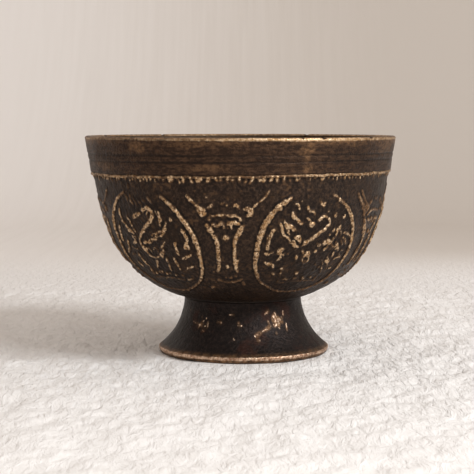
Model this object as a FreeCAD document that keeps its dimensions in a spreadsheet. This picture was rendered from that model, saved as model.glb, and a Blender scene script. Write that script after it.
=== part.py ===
"""Footed brass bowl: a cast bowl with relief medallions, soldered onto a separately cast foot.

Millimetres, +Z up. The origin is the centre of the ring that the foot stands on.
Front is -Y, and a bearing of 0 degrees points there; bearings grow towards +X.
"""
import FreeCAD, Part
import math
import os
import Sketcher

SHEET = "Sizes"
PARTS_FOLDER = "parts"

# Driving dimensions: alias, value, what it sizes.
DRIVING_SIZES = [
    ("total_height", 84.0, "standing plane to the top of the lip"),
    ("rim_radius", 60.0, "outside of the rim, just under the lip"),
    ("lip_thickness", 2.2, "wall at the rim"),
    ("lip_rounding", 1.2, "arc over the top of the lip"),
    ("wall_thickness", 2.6, "cast wall of the bowl"),
    ("belly_radius", 41.0, "arc of the underside and belly"),
    ("belly_centre_radius", 12.8, "that arc's centre, out from the axis"),
    ("belly_centre_height", 61.6, "that arc's centre, up from the standing plane"),
    ("belly_end_angle", 23.0, "degrees below level where belly meets side"),
    ("side_radius", 88.0, "flatter arc of the side, tangent to the belly"),
    ("band_foot_height", 69.7, "lower edge of the turned rim band"),
    ("band_foot_radius", 57.6, "rim band at its lower edge"),
    ("string_height", 0.9, "height of the half round string under the band"),
    ("string_radius", 0.55, "rounding of that string"),
    ("band_taper", 0.16, "outward lean of the rim band, per millimetre"),
    ("inner_knee_height", 66.0, "where the inside wall starts to follow the band"),
    ("turned_line_height", 76.2, "middle of the pair of turned lines on the band"),
    ("turned_line_gap", 3.4, "between the two turned lines"),
    ("turned_line_depth", 0.3, "depth of each turned line"),
    ("turned_line_width", 0.7, "width of each turned line"),
    ("neck_radius", 22.7, "sharp corner where the bowl meets the foot"),
    ("boss_radius", 20.5, "locating boss cast under the bowl"),
    ("boss_depth", 3.0, "how far that boss enters the foot"),
    ("solder_gap", 0.4, "solder film between bowl and foot"),
    ("solder_fillet", 0.8, "how far the solder shows beyond the neck"),
    ("flare_radius", 25.5, "arc of the foot's outside"),
    ("flare_centre_radius", 48.2, "that arc's centre, out from the axis"),
    ("flare_centre_height", 22.75, "that arc's centre, up from the standing plane"),
    ("foot_wall", 2.3, "cast wall of the foot"),
    ("foot_edge_height", 2.2, "rounded edge at the bottom of the foot"),
    ("foot_edge_rounding", 1.8, "radius of that edge"),
    ("foot_edge_inset", 0.8, "how far that edge turns in at the floor"),
    ("foot_ring_height", 2.6, "straight inner wall above the standing ring"),
    ("foot_bore_depth", 3.4, "bored seat for the boss in the foot's neck"),
    ("relief_height", 0.8, "how far the relief stands out"),
    ("relief_root", 0.6, "how deep the relief is rooted in the wall"),
    ("medallion_count", 5, "medallions around the bowl"),
    ("medallion_bearing", 30.0, "bearing of one medallion"),
    ("medallion_height", 46.4, "middle of a medallion"),
    ("medallion_half_width", 20.9, "outside of a medallion's frame"),
    ("medallion_half_height", 18.2, "outside of a medallion's frame"),
    ("medallion_frame_width", 1.6, "width of a medallion's frame"),
    ("pillar_foot_height", 34.0, "lower end of a pillar between medallions"),
    ("pillar_neck_height", 50.5, "where a pillar starts to spread"),
    ("pillar_top_height", 56.5, "top of a pillar"),
    ("pillar_half_width", 3.2, "axis of a pillar to the middle of its upright"),
    ("pillar_spread", 3.0, "how far an upright leans out at its top"),
    ("pillar_upright_width", 1.5, "width of an upright"),
    ("relief_core_radius", 24.0, "core that carries the relief's cutting prisms"),
]


def cell(alias):
    """Expression that reads one dimension from the sheet."""
    return f"{SHEET}.{alias}"


# Places that follow from the driving dimensions, as expressions.
BELLY_ANGLE = f"{cell('belly_end_angle')} * 1deg"
SEAT_HEIGHT = (
    f"({cell('belly_centre_height')} - sqrt({cell('belly_radius')}^2"
    f" - ({cell('neck_radius')} - {cell('belly_centre_radius')})^2))"
)
BOSS_BOTTOM = f"({SEAT_HEIGHT} - {cell('boss_depth')})"
BORE_RADIUS = f"({cell('boss_radius')} + {cell('solder_gap')})"
FOOT_TOP = f"({SEAT_HEIGHT} - {cell('solder_gap')})"
SIDE_CENTRE_RADIUS = (
    f"({cell('belly_centre_radius')}"
    f" - ({cell('side_radius')} - {cell('belly_radius')}) * cos({BELLY_ANGLE}))"
)
SIDE_CENTRE_HEIGHT = (
    f"({cell('belly_centre_height')}"
    f" + ({cell('side_radius')} - {cell('belly_radius')}) * sin({BELLY_ANGLE}))"
)
LIP_RISE = (
    f"({cell('lip_rounding')}"
    f" - sqrt({cell('lip_rounding')}^2 - ({cell('lip_thickness')} / 2)^2))"
)
BAND_TOP_HEIGHT = f"({cell('total_height')} - {LIP_RISE})"
STRING_TOP_HEIGHT = f"({cell('band_foot_height')} + {cell('string_height')})"


def belly_point(offset):
    """Radius and height where belly meets side, on the surface offset outwards."""
    reach = f"({cell('belly_radius')} + {offset})"
    return (
        f"{cell('belly_centre_radius')} + {reach} * cos({BELLY_ANGLE})",
        f"{cell('belly_centre_height')} - {reach} * sin({BELLY_ANGLE})",
    )


def belly_height(radius, offset="0"):
    """Height of the belly arc, offset outwards, at a radius."""
    return (
        f"{cell('belly_centre_height')} - sqrt(({cell('belly_radius')} + {offset})^2"
        f" - ({radius} - {cell('belly_centre_radius')})^2)"
    )


def side_reach(height, offset="0"):
    """Radius of the side arc, offset outwards, at a height."""
    return (
        f"{SIDE_CENTRE_RADIUS} + sqrt(({cell('side_radius')} + {offset})^2"
        f" - ({height} - {SIDE_CENTRE_HEIGHT})^2)"
    )


def flare_reach(height, offset="0"):
    """Radius of the foot's flare at a height; the offset is into the wall."""
    return (
        f"{cell('flare_centre_radius')} - sqrt(({cell('flare_radius')} + {offset})^2"
        f" - ({height} - {cell('flare_centre_height')})^2)"
    )


def band_reach(height):
    """Radius of the rim band's outside at a height."""
    return f"{cell('rim_radius')} - {cell('band_taper')} * ({BAND_TOP_HEIGHT} - ({height}))"


def fill_sheet(document):
    """Put every driving dimension in the sheet, with its alias and its purpose."""
    sheet = document.addObject("Spreadsheet::Sheet", SHEET)
    for row, (alias, value, purpose) in enumerate(DRIVING_SIZES, start=1):
        sheet.set(f"A{row}", alias)
        sheet.set(f"B{row}", str(value))
        sheet.setAlias(f"B{row}", alias)
        sheet.set(f"C{row}", purpose)
    document.recompute()


def origin_feature(body, role):
    """The body's own origin plane or axis with this role."""
    return next(item for item in body.Origin.OriginFeatures if item.Role == role)


def turned_about(axis):
    """A placement at the origin whose angle about this axis an expression can set."""
    return FreeCAD.Placement(FreeCAD.Vector(0, 0, 0), FreeCAD.Rotation(axis, 1.0))


def upright_sketch(body, name):
    """A sketch on the body's XZ plane: across is the radius, up is the height."""
    sketch = body.newObject("Sketcher::SketchObject", name)
    sketch.AttachmentSupport = [(origin_feature(body, "XZ_Plane"), "")]
    sketch.MapMode = "FlatFace"
    return sketch


def number(sketch, expression):
    """The present value of an expression."""
    value = sketch.evalExpression(expression)
    return float(getattr(value, "Value", value))


def bind(sketch, constraint, expression):
    """Add a constraint whose size follows an expression."""
    index = sketch.addConstraint(constraint)
    sketch.setExpression(f"Constraints[{index}]", expression)


def bowed_edge(start, end, radius, side):
    """An arc that bows to the left (+1) or right (-1) of the way from start to end.

    Sketcher takes every arc anticlockwise, so one that bows to the left is drawn backwards.
    """
    chord = end - start
    rise = radius - math.sqrt(radius**2 - chord.Length**2 / 4)
    across = FreeCAD.Vector(-chord.y, chord.x, 0).normalize()
    middle = (start + end) / 2 + across * side * rise
    if side > 0:
        return Part.Arc(end, middle, start)
    return Part.Arc(start, middle, end)


def nearest_end(sketch, edge, point):
    """Sketcher's number, 1 or 2, for the end of an edge that lies at a point."""
    curve = sketch.Geometry[edge]
    to_start = (curve.StartPoint - point).Length
    to_end = (curve.EndPoint - point).Length
    return 1 if to_start < to_end else 2


def pin_corner(sketch, edge, end, across, up):
    """Hold one end of an edge at its expressions, or on the axis."""
    if across == "0":
        sketch.addConstraint(Sketcher.Constraint("PointOnObject", edge, end, -2))
    else:
        distance = number(sketch, across)
        bind(sketch, Sketcher.Constraint("DistanceX", -1, 1, edge, end, distance), across)
    if up == "0":
        sketch.addConstraint(Sketcher.Constraint("PointOnObject", edge, end, -1))
    else:
        distance = number(sketch, up)
        bind(sketch, Sketcher.Constraint("DistanceY", -1, 1, edge, end, distance), up)


def draw_outline(sketch, corners, bows):
    """Draw a closed outline through corners given as (across, up) expressions.

    bows maps an edge, by the corner that it starts from, to (radius expression, side).
    """
    points = [
        FreeCAD.Vector(number(sketch, across), number(sketch, up), 0)
        for across, up in corners
    ]
    first = sketch.GeometryCount
    count = len(corners)
    for index, start in enumerate(points):
        end = points[(index + 1) % count]
        if index in bows:
            radius, side = bows[index]
            sketch.addGeometry(bowed_edge(start, end, number(sketch, radius), side))
        else:
            sketch.addGeometry(Part.LineSegment(start, end))
    for index, start in enumerate(points):
        edge = first + index
        before = first + (index - 1) % count
        end_here = nearest_end(sketch, edge, start)
        end_before = nearest_end(sketch, before, start)
        joint = Sketcher.Constraint("Coincident", before, end_before, edge, end_here)
        sketch.addConstraint(joint)
        pin_corner(sketch, edge, end_here, *corners[index])
    for index, (radius, _side) in bows.items():
        edge = first + index
        bind(sketch, Sketcher.Constraint("Radius", edge, number(sketch, radius)), radius)


def revolve(body, sketch, name, kind="PartDesign::Revolution"):
    """Turn a sketch once around its own vertical axis."""
    feature = body.newObject(kind, name)
    feature.Profile = sketch
    feature.ReferenceAxis = (sketch, ["V_Axis"])
    feature.Angle = 360.0
    return feature


def new_body(document, name):
    """A PartDesign body whose name is also its label."""
    body = document.addObject("PartDesign::Body", name)
    body.Label = name
    return body


def make_bowl_wall(document):
    """The bowl's plain turned form, with its boss, string, rim band and lip."""
    body = new_body(document, "bowl_wall")
    sketch = upright_sketch(body, "BowlOutline")
    wall = cell("wall_thickness")
    lip_inside = f"{cell('rim_radius')} - {cell('lip_thickness')}"
    floor_height = f"{cell('belly_centre_height')} - {cell('belly_radius')} + {wall}"
    corners = [
        ("0", BOSS_BOTTOM),
        (cell("boss_radius"), BOSS_BOTTOM),
        (cell("boss_radius"), SEAT_HEIGHT),
        (cell("neck_radius"), SEAT_HEIGHT),
        belly_point("0"),
        (side_reach(cell("band_foot_height")), cell("band_foot_height")),
        (cell("band_foot_radius"), cell("band_foot_height")),
        (band_reach(STRING_TOP_HEIGHT), STRING_TOP_HEIGHT),
        (cell("rim_radius"), BAND_TOP_HEIGHT),
        (lip_inside, BAND_TOP_HEIGHT),
        (side_reach(cell("inner_knee_height"), f"(-{wall})"), cell("inner_knee_height")),
        belly_point(f"(-{wall})"),
        (cell("belly_centre_radius"), floor_height),
        ("0", floor_height),
    ]
    bows = {
        3: (cell("belly_radius"), -1),
        4: (cell("side_radius"), -1),
        6: (cell("string_radius"), -1),
        8: (cell("lip_rounding"), -1),
        10: (f"{cell('side_radius')} - {wall}", 1),
        11: (f"{cell('belly_radius')} - {wall}", 1),
    }
    draw_outline(sketch, corners, bows)
    revolve(body, sketch, "BowlTurned")
    cut_turned_lines(body)
    return body


def cut_turned_lines(body):
    """Two fine V grooves that the lathe left around the rim band."""
    sketch = upright_sketch(body, "TurnedLines")
    for side in ("-", "+"):
        middle = f"({cell('turned_line_height')} {side} {cell('turned_line_gap')} / 2)"
        low = f"({middle} - {cell('turned_line_width')} / 2)"
        high = f"({middle} + {cell('turned_line_width')} / 2)"
        corners = [
            (f"{band_reach(middle)} - {cell('turned_line_depth')}", middle),
            (f"{band_reach(low)} + {cell('turned_line_depth')}", low),
            (f"{band_reach(high)} + {cell('turned_line_depth')}", high),
        ]
        draw_outline(sketch, corners, {})
    revolve(body, sketch, "TurnedLinesCut", "PartDesign::Groove")


def make_relief_skin(document):
    """A thin shell that hugs the bowl: the relief is the part of it that the prisms keep."""
    body = new_body(document, "relief_skin")
    sketch = upright_sketch(body, "SkinOutline")
    outer = cell("relief_height")
    inner = f"(-{cell('relief_root')})"
    low_radius = f"({cell('neck_radius')} + {cell('solder_fillet')} * 2)"
    high_height = f"({cell('band_foot_height')} - {cell('string_height')})"
    corners = [
        (low_radius, belly_height(low_radius, inner)),
        (low_radius, belly_height(low_radius, outer)),
        belly_point(outer),
        (side_reach(high_height, outer), high_height),
        (side_reach(high_height, inner), high_height),
        belly_point(inner),
    ]
    bows = {
        1: (f"{cell('belly_radius')} + {outer}", -1),
        2: (f"{cell('side_radius')} + {outer}", -1),
        4: (f"{cell('side_radius')} + {inner}", 1),
        5: (f"{cell('belly_radius')} + {inner}", 1),
    }
    draw_outline(sketch, corners, bows)
    revolve(body, sketch, "SkinTurned")
    return body


def add_oval(sketch, half_width, half_height, middle_height):
    """An upright or lying oval centred on the sketch's vertical axis."""
    wide = number(sketch, half_width)
    tall = number(sketch, half_height)
    centre = FreeCAD.Vector(0, number(sketch, middle_height), 0)
    across_end = centre + FreeCAD.Vector(wide, 0, 0)
    up_end = centre + FreeCAD.Vector(0, tall, 0)
    oval = sketch.addGeometry(Part.Ellipse(across_end, up_end, centre))
    sketch.addConstraint(Sketcher.Constraint("PointOnObject", oval, 3, -2))
    centre_height = Sketcher.Constraint("DistanceY", -1, 1, oval, 3, centre.y)
    bind(sketch, centre_height, middle_height)
    sketch.exposeInternalGeometry(oval)
    major = oval + 1
    minor = oval + 2
    sketch.addConstraint(Sketcher.Constraint("Horizontal", major))
    bind(sketch, Sketcher.Constraint("Distance", major, 2 * wide), f"2 * {half_width}")
    bind(sketch, Sketcher.Constraint("Distance", minor, 2 * tall), f"2 * {half_height}")


def pad_outwards(body, sketch, name):
    """Push a sketch outwards, past the rim's radius."""
    pad = body.newObject("PartDesign::Pad", name)
    pad.Profile = sketch
    pad.setExpression("Length", cell("rim_radius"))
    return pad


def pad_core(body):
    """A plain core on the axis, which all the prisms grow out of."""
    sketch = body.newObject("Sketcher::SketchObject", "CoreOutline")
    sketch.AttachmentSupport = [(origin_feature(body, "XY_Plane"), "")]
    sketch.MapMode = "FlatFace"
    radius = number(sketch, cell("relief_core_radius"))
    circle = Part.Circle(FreeCAD.Vector(0, 0, 0), FreeCAD.Vector(0, 0, 1), radius)
    sketch.addGeometry(circle)
    sketch.addConstraint(Sketcher.Constraint("Coincident", 0, 3, -1, 1))
    bind(sketch, Sketcher.Constraint("Radius", 0, radius), cell("relief_core_radius"))
    core = body.newObject("PartDesign::Pad", "Core")
    core.Profile = sketch
    core.setExpression("Length", cell("band_foot_height"))


def pad_medallion(body):
    """The prism of one medallion's frame: the ring between two ovals."""
    sketch = upright_sketch(body, "MedallionFrame")
    for inset in ("0", cell("medallion_frame_width")):
        half_width = f"({cell('medallion_half_width')} - {inset})"
        half_height = f"({cell('medallion_half_height')} - {inset})"
        add_oval(sketch, half_width, half_height, cell("medallion_height"))
    return pad_outwards(body, sketch, "MedallionPrism")


def pad_pillar(body):
    """The prisms of one pillar's two uprights, half a pitch from the medallion."""
    sketch = upright_sketch(body, "PillarUprights")
    sketch.AttachmentOffset = turned_about(FreeCAD.Vector(0, 1, 0))
    sketch.setExpression(
        "AttachmentOffset.Rotation.Angle", f"180deg / {cell('medallion_count')}"
    )
    for side in ("-1", "1"):
        draw_upright(sketch, side)
    return pad_outwards(body, sketch, "PillarPrism")


def make_relief_prisms(document):
    """Prisms that reach out from a core, one set for each medallion and each pillar."""
    body = new_body(document, "relief_prisms")
    pad_core(body)
    prisms = [pad_medallion(body), pad_pillar(body)]
    document.recompute()
    pattern = body.newObject("PartDesign::PolarPattern", "AroundTheBowl")
    pattern.Originals = prisms
    pattern.Axis = (origin_feature(body, "Z_Axis"), [""])
    pattern.Angle = 360.0
    pattern.setExpression("Occurrences", cell("medallion_count"))
    body.Tip = pattern
    body.Placement = turned_about(FreeCAD.Vector(0, 0, 1))
    body.setExpression("Placement.Rotation.Angle", f"{cell('medallion_bearing')} * 1deg")
    return body


def draw_upright(sketch, side):
    """One upright of a pillar, straight below its neck and leaning out above it."""
    middle = cell("pillar_half_width")
    half = f"{cell('pillar_upright_width')} / 2"
    top = f"{middle} + {cell('pillar_spread')}"
    corners = [
        (f"{side} * ({middle} - {half})", cell("pillar_foot_height")),
        (f"{side} * ({middle} + {half})", cell("pillar_foot_height")),
        (f"{side} * ({middle} + {half})", cell("pillar_neck_height")),
        (f"{side} * ({top} + {half})", cell("pillar_top_height")),
        (f"{side} * ({top} - {half})", cell("pillar_top_height")),
        (f"{side} * ({middle} - {half})", cell("pillar_neck_height")),
    ]
    draw_outline(sketch, corners, {})


def make_bowl(document):
    """The cast bowl: its turned wall with the relief standing on it."""
    wall = make_bowl_wall(document)
    skin = make_relief_skin(document)
    prisms = make_relief_prisms(document)
    relief = document.addObject("Part::Common", "relief")
    relief.Base = skin
    relief.Tool = prisms
    bowl = document.addObject("Part::Fuse", "bowl")
    bowl.Base = wall
    bowl.Tool = relief
    bowl.Label = "bowl"
    return bowl


def make_foot(document):
    """The cast foot: a hollow flare with a rounded edge, bored out for the boss."""
    body = new_body(document, "foot")
    sketch = upright_sketch(body, "FootOutline")
    bore_end = f"({FOOT_TOP} - {cell('foot_bore_depth')})"
    wall = cell("foot_wall")
    edge_radius = flare_reach(cell("foot_edge_height"))
    ring_inside = flare_reach(cell("foot_ring_height"), wall)
    corners = [
        (BORE_RADIUS, FOOT_TOP),
        (BORE_RADIUS, bore_end),
        (flare_reach(bore_end, wall), bore_end),
        (ring_inside, cell("foot_ring_height")),
        (ring_inside, "0"),
        (f"{edge_radius} - {cell('foot_edge_inset')}", "0"),
        (edge_radius, cell("foot_edge_height")),
        (flare_reach(FOOT_TOP), FOOT_TOP),
    ]
    bows = {
        2: (f"{cell('flare_radius')} + {wall}", -1),
        5: (cell("foot_edge_rounding"), -1),
        6: (cell("flare_radius"), 1),
    }
    draw_outline(sketch, corners, bows)
    revolve(body, sketch, "FootTurned")
    return body


def make_solder_ring(document):
    """Solder that fills the seat and the bore, with a small fillet showing at the neck."""
    body = new_body(document, "solder_ring")
    sketch = upright_sketch(body, "SolderOutline")
    fillet_radius = f"({cell('neck_radius')} + {cell('solder_fillet')})"
    corners = [
        (cell("boss_radius"), BOSS_BOTTOM),
        (BORE_RADIUS, BOSS_BOTTOM),
        (BORE_RADIUS, FOOT_TOP),
        (flare_reach(FOOT_TOP), FOOT_TOP),
        (fillet_radius, belly_height(fillet_radius)),
        (cell("neck_radius"), SEAT_HEIGHT),
        (cell("boss_radius"), SEAT_HEIGHT),
    ]
    bows = {4: (cell("belly_radius"), 1)}
    draw_outline(sketch, corners, bows)
    revolve(body, sketch, "SolderTurned")
    return body


def check_document(document, parts):
    """Stop if any object failed, or any part isn't a valid solid."""
    for item in document.Objects:
        if "Invalid" in item.State or "Error" in item.State:
            raise RuntimeError(f"{item.Label} failed: {item.State}")
    for part in parts:
        if part.Shape.isNull() or not part.Shape.isValid():
            raise RuntimeError(f"{part.Label} is not a valid shape")
        if len(part.Shape.Solids) != 1:
            raise RuntimeError(f"{part.Label} has {len(part.Shape.Solids)} solids, not one")


def write_parts(parts):
    """Write each part to its own STEP file and print its volume."""
    os.makedirs(PARTS_FOLDER, exist_ok=True)
    for part in parts:
        part.Shape.exportStep(os.path.join(PARTS_FOLDER, f"{part.Label}.step"))
        print(f"{part.Label}: {part.Shape.Volume:.0f} cubic millimetres")


def main():
    document = FreeCAD.newDocument("FootedBowl")
    fill_sheet(document)
    parts = [make_bowl(document), make_foot(document), make_solder_ring(document)]
    document.recompute()
    check_document(document, parts)
    write_parts(parts)


main()
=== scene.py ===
"""Looks of a footed brass bowl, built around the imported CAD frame. Metres, same frame as the CAD.

The form and its relief are worked out in millimetres of the design and scaled to the frame.
A bearing is an angle around the bowl in degrees: 0 is the front (-Y), growing towards +X.
A drop is a distance in millimetres down along the bowl's wall, from just below the rim band.
"""
import math

import bpy
import numpy as np
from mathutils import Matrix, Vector


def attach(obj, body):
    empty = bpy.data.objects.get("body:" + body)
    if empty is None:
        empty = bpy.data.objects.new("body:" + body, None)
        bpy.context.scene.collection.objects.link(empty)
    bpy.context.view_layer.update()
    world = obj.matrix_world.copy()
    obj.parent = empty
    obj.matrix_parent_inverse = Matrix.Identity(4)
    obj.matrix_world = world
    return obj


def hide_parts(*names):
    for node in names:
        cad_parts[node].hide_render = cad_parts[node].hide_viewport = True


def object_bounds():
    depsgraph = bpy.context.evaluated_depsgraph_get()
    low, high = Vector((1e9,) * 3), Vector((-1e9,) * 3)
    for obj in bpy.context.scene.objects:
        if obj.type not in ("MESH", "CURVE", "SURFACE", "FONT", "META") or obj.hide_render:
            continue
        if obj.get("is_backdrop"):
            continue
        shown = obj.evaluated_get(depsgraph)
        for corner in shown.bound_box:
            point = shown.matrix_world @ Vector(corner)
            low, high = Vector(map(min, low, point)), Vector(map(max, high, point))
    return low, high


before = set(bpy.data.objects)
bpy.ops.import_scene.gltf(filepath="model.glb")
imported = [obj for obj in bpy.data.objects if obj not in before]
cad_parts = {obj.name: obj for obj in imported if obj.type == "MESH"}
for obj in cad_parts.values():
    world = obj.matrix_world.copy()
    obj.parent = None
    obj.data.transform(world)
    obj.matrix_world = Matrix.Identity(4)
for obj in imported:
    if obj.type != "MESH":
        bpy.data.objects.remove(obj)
cad_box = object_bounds()

BAKE_UV = "OFBake"

# ---------------------------------------------------------------- the form, in millimetres
DESIGN_HEIGHT = 84.0
MM = (cad_box[1].z - cad_box[0].z) / DESIGN_HEIGHT

BELLY_CENTRE = (12.8, 61.6)
BELLY_RADIUS = 41.0
BELLY_END = math.radians(23.0)
SIDE_RADIUS = 88.0
SIDE_CENTRE = (
    BELLY_CENTRE[0] - (SIDE_RADIUS - BELLY_RADIUS) * math.cos(BELLY_END),
    BELLY_CENTRE[1] + (SIDE_RADIUS - BELLY_RADIUS) * math.sin(BELLY_END),
)
WALL = 2.6
RIM_RADIUS = 60.0
LIP_THICKNESS = 2.2
BAND_FOOT = (57.6, 69.7)
STRING_HEIGHT = 1.1
STRING_BULGE = 0.35
BAND_TAPER = 0.16
LIP_HEIGHT = 83.3
KNEE_HEIGHT = 66.0
DROP_ZERO_HEIGHT = 67.6
NECK_RADIUS = 22.7
BOSS_RADIUS = 20.5
BOSS_DEPTH = 3.0
BOSS_CORNER = (0.4, 0.3)  # how far in and up
SOLDER_GAP = 0.4
FOOT_BORE = BOSS_RADIUS + SOLDER_GAP
SOLDER_FILLET = 0.8

FLARE_CENTRE = (48.2, 22.75)
FLARE_RADIUS = 25.5
FOOT_WALL = 2.3
FOOT_EDGE_HEIGHT = 2.2
FOOT_EDGE_INSET = 0.8
FOOT_EDGE_BULGE = 0.35
FOOT_RING_HEIGHT = 2.6
FOOT_BORE_DEPTH = 3.4

LEAN = -0.016  # the whole piece leans a little towards -X as it rises
BAND_TILT = 0.5  # the string rises towards +X by this much

SIDE_START = math.asin((SIDE_CENTRE[1] - DROP_ZERO_HEIGHT) / SIDE_RADIUS)
SIDE_DROP = (BELLY_END - SIDE_START) * SIDE_RADIUS
NECK_ANGLE = math.acos((NECK_RADIUS - BELLY_CENTRE[0]) / BELLY_RADIUS)
NECK_DROP = SIDE_DROP + (NECK_ANGLE - BELLY_END) * BELLY_RADIUS
NECK_HEIGHT = BELLY_CENTRE[1] - BELLY_RADIUS * math.sin(NECK_ANGLE)
BOSS_BOTTOM = NECK_HEIGHT - BOSS_DEPTH
FOOT_TOP = NECK_HEIGHT - SOLDER_GAP
TOP_DROP = SIDE_RADIUS * (
    math.asin((SIDE_CENTRE[1] - BAND_FOOT[1]) / SIDE_RADIUS) - SIDE_START
)

# ---------------------------------------------------------------- the grid
PANELS = 5
PITCH = 360.0 / PANELS
COLUMNS = 1200
COARSE = 4  # the inside has this many times fewer columns
FIRST_BEARING = -86.5
BEARINGS = FIRST_BEARING + np.arange(COLUMNS) * 360.0 / COLUMNS
TURNS = (BEARINGS - FIRST_BEARING) / 360.0
FOOT_COLUMNS = 720
SEAM_COLUMNS = 240
WALL_ROW = 0.36
STRING_ROWS = 7
BAND_ROWS = 36
LIP_ROWS = 8
CELL_GAP = 0.006  # between the cells of the UV square
# centre and radius on the UV square
BOSS_DISC = ((5 / 6, 0.91), 0.08)
INSIDE_DISC = ((5 / 6, 0.66), 0.155)

# ---------------------------------------------------------------- wear and marks
TURNED_LINES = (75.2, 77.5)
TURNED_DEPTH = 0.22
TURNED_WIDTH = 0.3
# strength, cell down in mm (in rows on the inside and the floor), cells around, seed
WALL_GRAIN = [
    (0.16, 9.0, 32, 11), (0.08, 3.0, 110, 12), (0.07, 1.2, 280, 13), (0.035, 0.75, 480, 15),
]
CRUMB_GRAIN = [(1.0, 1.1, 300, 18), (0.5, 5.0, 60, 19)]
WEAR_GRAIN = [(1.0, 6.0, 50, 21), (0.6, 2.0, 150, 22)]
BAND_GRAIN = [(0.03, 0.8, 9, 41), (0.05, 4.0, 50, 42)]
INSIDE_GRAIN = [(0.06, 7.0, 36, 61), (0.045, 1.4, 5, 62), (0.02, 1.0, 140, 63)]
FOOT_GRAIN = [(0.10, 5.0, 24, 71), (0.05, 1.6, 90, 72), (0.02, 0.8, 220, 73)]
FLOOR_GRAIN = [(0.8, 22, 22, 91), (0.8, 9, 60, 92), (0.55, 4, 121, 93)]
# bearing, width in degrees, depth
LIP_NICKS = [
    (29.5, 0.6, 0.45), (52.5, 0.7, 0.4), (21.5, 0.3, 0.25), (-40, 0.8, 0.25), (96, 0.6, 0.4),
    (151, 0.9, 0.35), (214, 0.5, 0.45), (249, 0.7, 0.3),
]
LIP_CUT = 0.25  # the lip's round starts and ends this many radians past level
# the lip's painted highlight: the bearing where it is brightest, and how far round it spreads, in
# degrees
LIP_HIGHLIGHT_BEARING = 24.0
LIP_HIGHLIGHT_WIDTH = 36.0
# bearing, height, half width in degrees, half height, strength
BAND_PATCHES = [
    (-38, 80.6, 5, 2.0, 0.8), (-17, 81.4, 9, 1.4, 0.6), (-12, 73.4, 9, 1.5, 0.5),
    (23, 79.5, 3, 3.5, 0.8), (23.5, 72.6, 2.5, 1.6, 0.9), (44, 81.5, 5, 1.2, 0.7),
    (66, 80, 8, 3.0, 0.6), (-60, 74, 9, 2.0, 0.4), (110, 77, 9, 3.0, 0.7),
    (163, 80, 7, 2.5, 0.8), (204, 74, 10, 2.0, 0.7), (240, 79, 8, 3.0, 0.6),
]
# bearing, drop, half width in degrees, half height, strength
DULL_PLACES = [
    (-72, 8, 12, 11, 0.7), (-72, 31, 14, 24, 0.45), (-57, 26, 8, 16, 0.2),
    (70, 8, 12, 11, 0.75), (68, 31, 15, 24, 0.5), (55.5, 9, 6.5, 10, 0.75),
    (51, 38, 5, 8, 0.4), (30, 48, 15, 3.5, 0.45), (34, 43, 30, 5, 0.25), (15, 4, 6, 4, 0.3),
    (-43, 4, 13, 4.5, 0.6), (0, 40, 14, 6, 0.35), (120, 34, 16, 12, 0.4),
    (186, 12, 14, 8, 0.45), (238, 30, 12, 14, 0.4), (96, 20, 12, 14, 0.3),
]
# half width, points of bearing and height
FOOT_MARKS = [
    # the bright patch and its tail
    (0.75, [(27.6, 15), (31, 14.5), (34.6, 14.7)]),
    (0.55, [(28.6, 16.4), (30.6, 14.6), (32.4, 12.6)]),
    (0.5, [(33.6, 15.9), (36.2, 14.4), (38.4, 13.6)]),
    (0.4, [(26.2, 13.2), (29, 12.6), (32, 13.5), (34.5, 13)]),
    (0.42, [(25, 12.5), (22, 11.8), (18.4, 11)]),
    (0.25, [(18.4, 11.4), (16, 10.8), (14, 10.5)]),
    (0.5, [(14.6, 10.4), (12, 10), (9.6, 9.4)]),
    (0.45, [(20.3, 17.1), (23, 17.8), (25.1, 18.4)]),
    (0.4, [(40.7, 17.5), (40.2, 16.1)]),
    (0.4, [(41.5, 13.2), (39.6, 10.6)]),
    (0.5, [(11, 7.8), (13, 7.9)]),
    (0.35, [(28, 10.2), (29.5, 9.8)]),
    # crossing scratches
    (0.3, [(-50.7, 13.5), (-41, 12.8), (-32, 12.2)]),
    (0.32, [(-38, 14), (-40.5, 12.8), (-41.8, 11.4)]),
    (0.3, [(-33.1, 14), (-32.3, 12.2)]),
    (0.3, [(-38.6, 11), (-34.7, 10.5)]),
    (0.4, [(-41.2, 15.6), (-40.4, 15.6)]),
    (0.32, [(-24.7, 14.2), (-19.1, 13.9)]),
    # specks
    (0.45, [(-4.5, 14.2), (-3.7, 14.2)]),
    (0.3, [(-5.2, 12.9), (-0.8, 12.7)]),
    (0.25, [(-13, 16.8), (-7.7, 16.8)]),
    (0.35, [(-60, 17.2), (-59, 17)]),
    # flecks beside the bright patch and the scratches
    (0.3, [(30, 17.6), (31.4, 17), (32.2, 15.8)]),
    (0.28, [(27, 16), (28.4, 15.2), (30.4, 15.4)]),
    (0.26, [(32, 12.2), (33.6, 11.4)]),
    (0.3, [(22.4, 14.8), (24, 14)]),
    (0.26, [(37.4, 15.8), (38.6, 14.8)]),
    (0.24, [(-8, 8.6), (-7, 8)]),
    (0.24, [(-36, 15.4), (-35.2, 14.8)]),
]
# the marks again further round: turn in degrees, strength
FOOT_MARK_TURNS = [(0, 1.0), (137, 0.7), (214, 0.85)]
FOOT_MARK_SEED = 5

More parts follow.
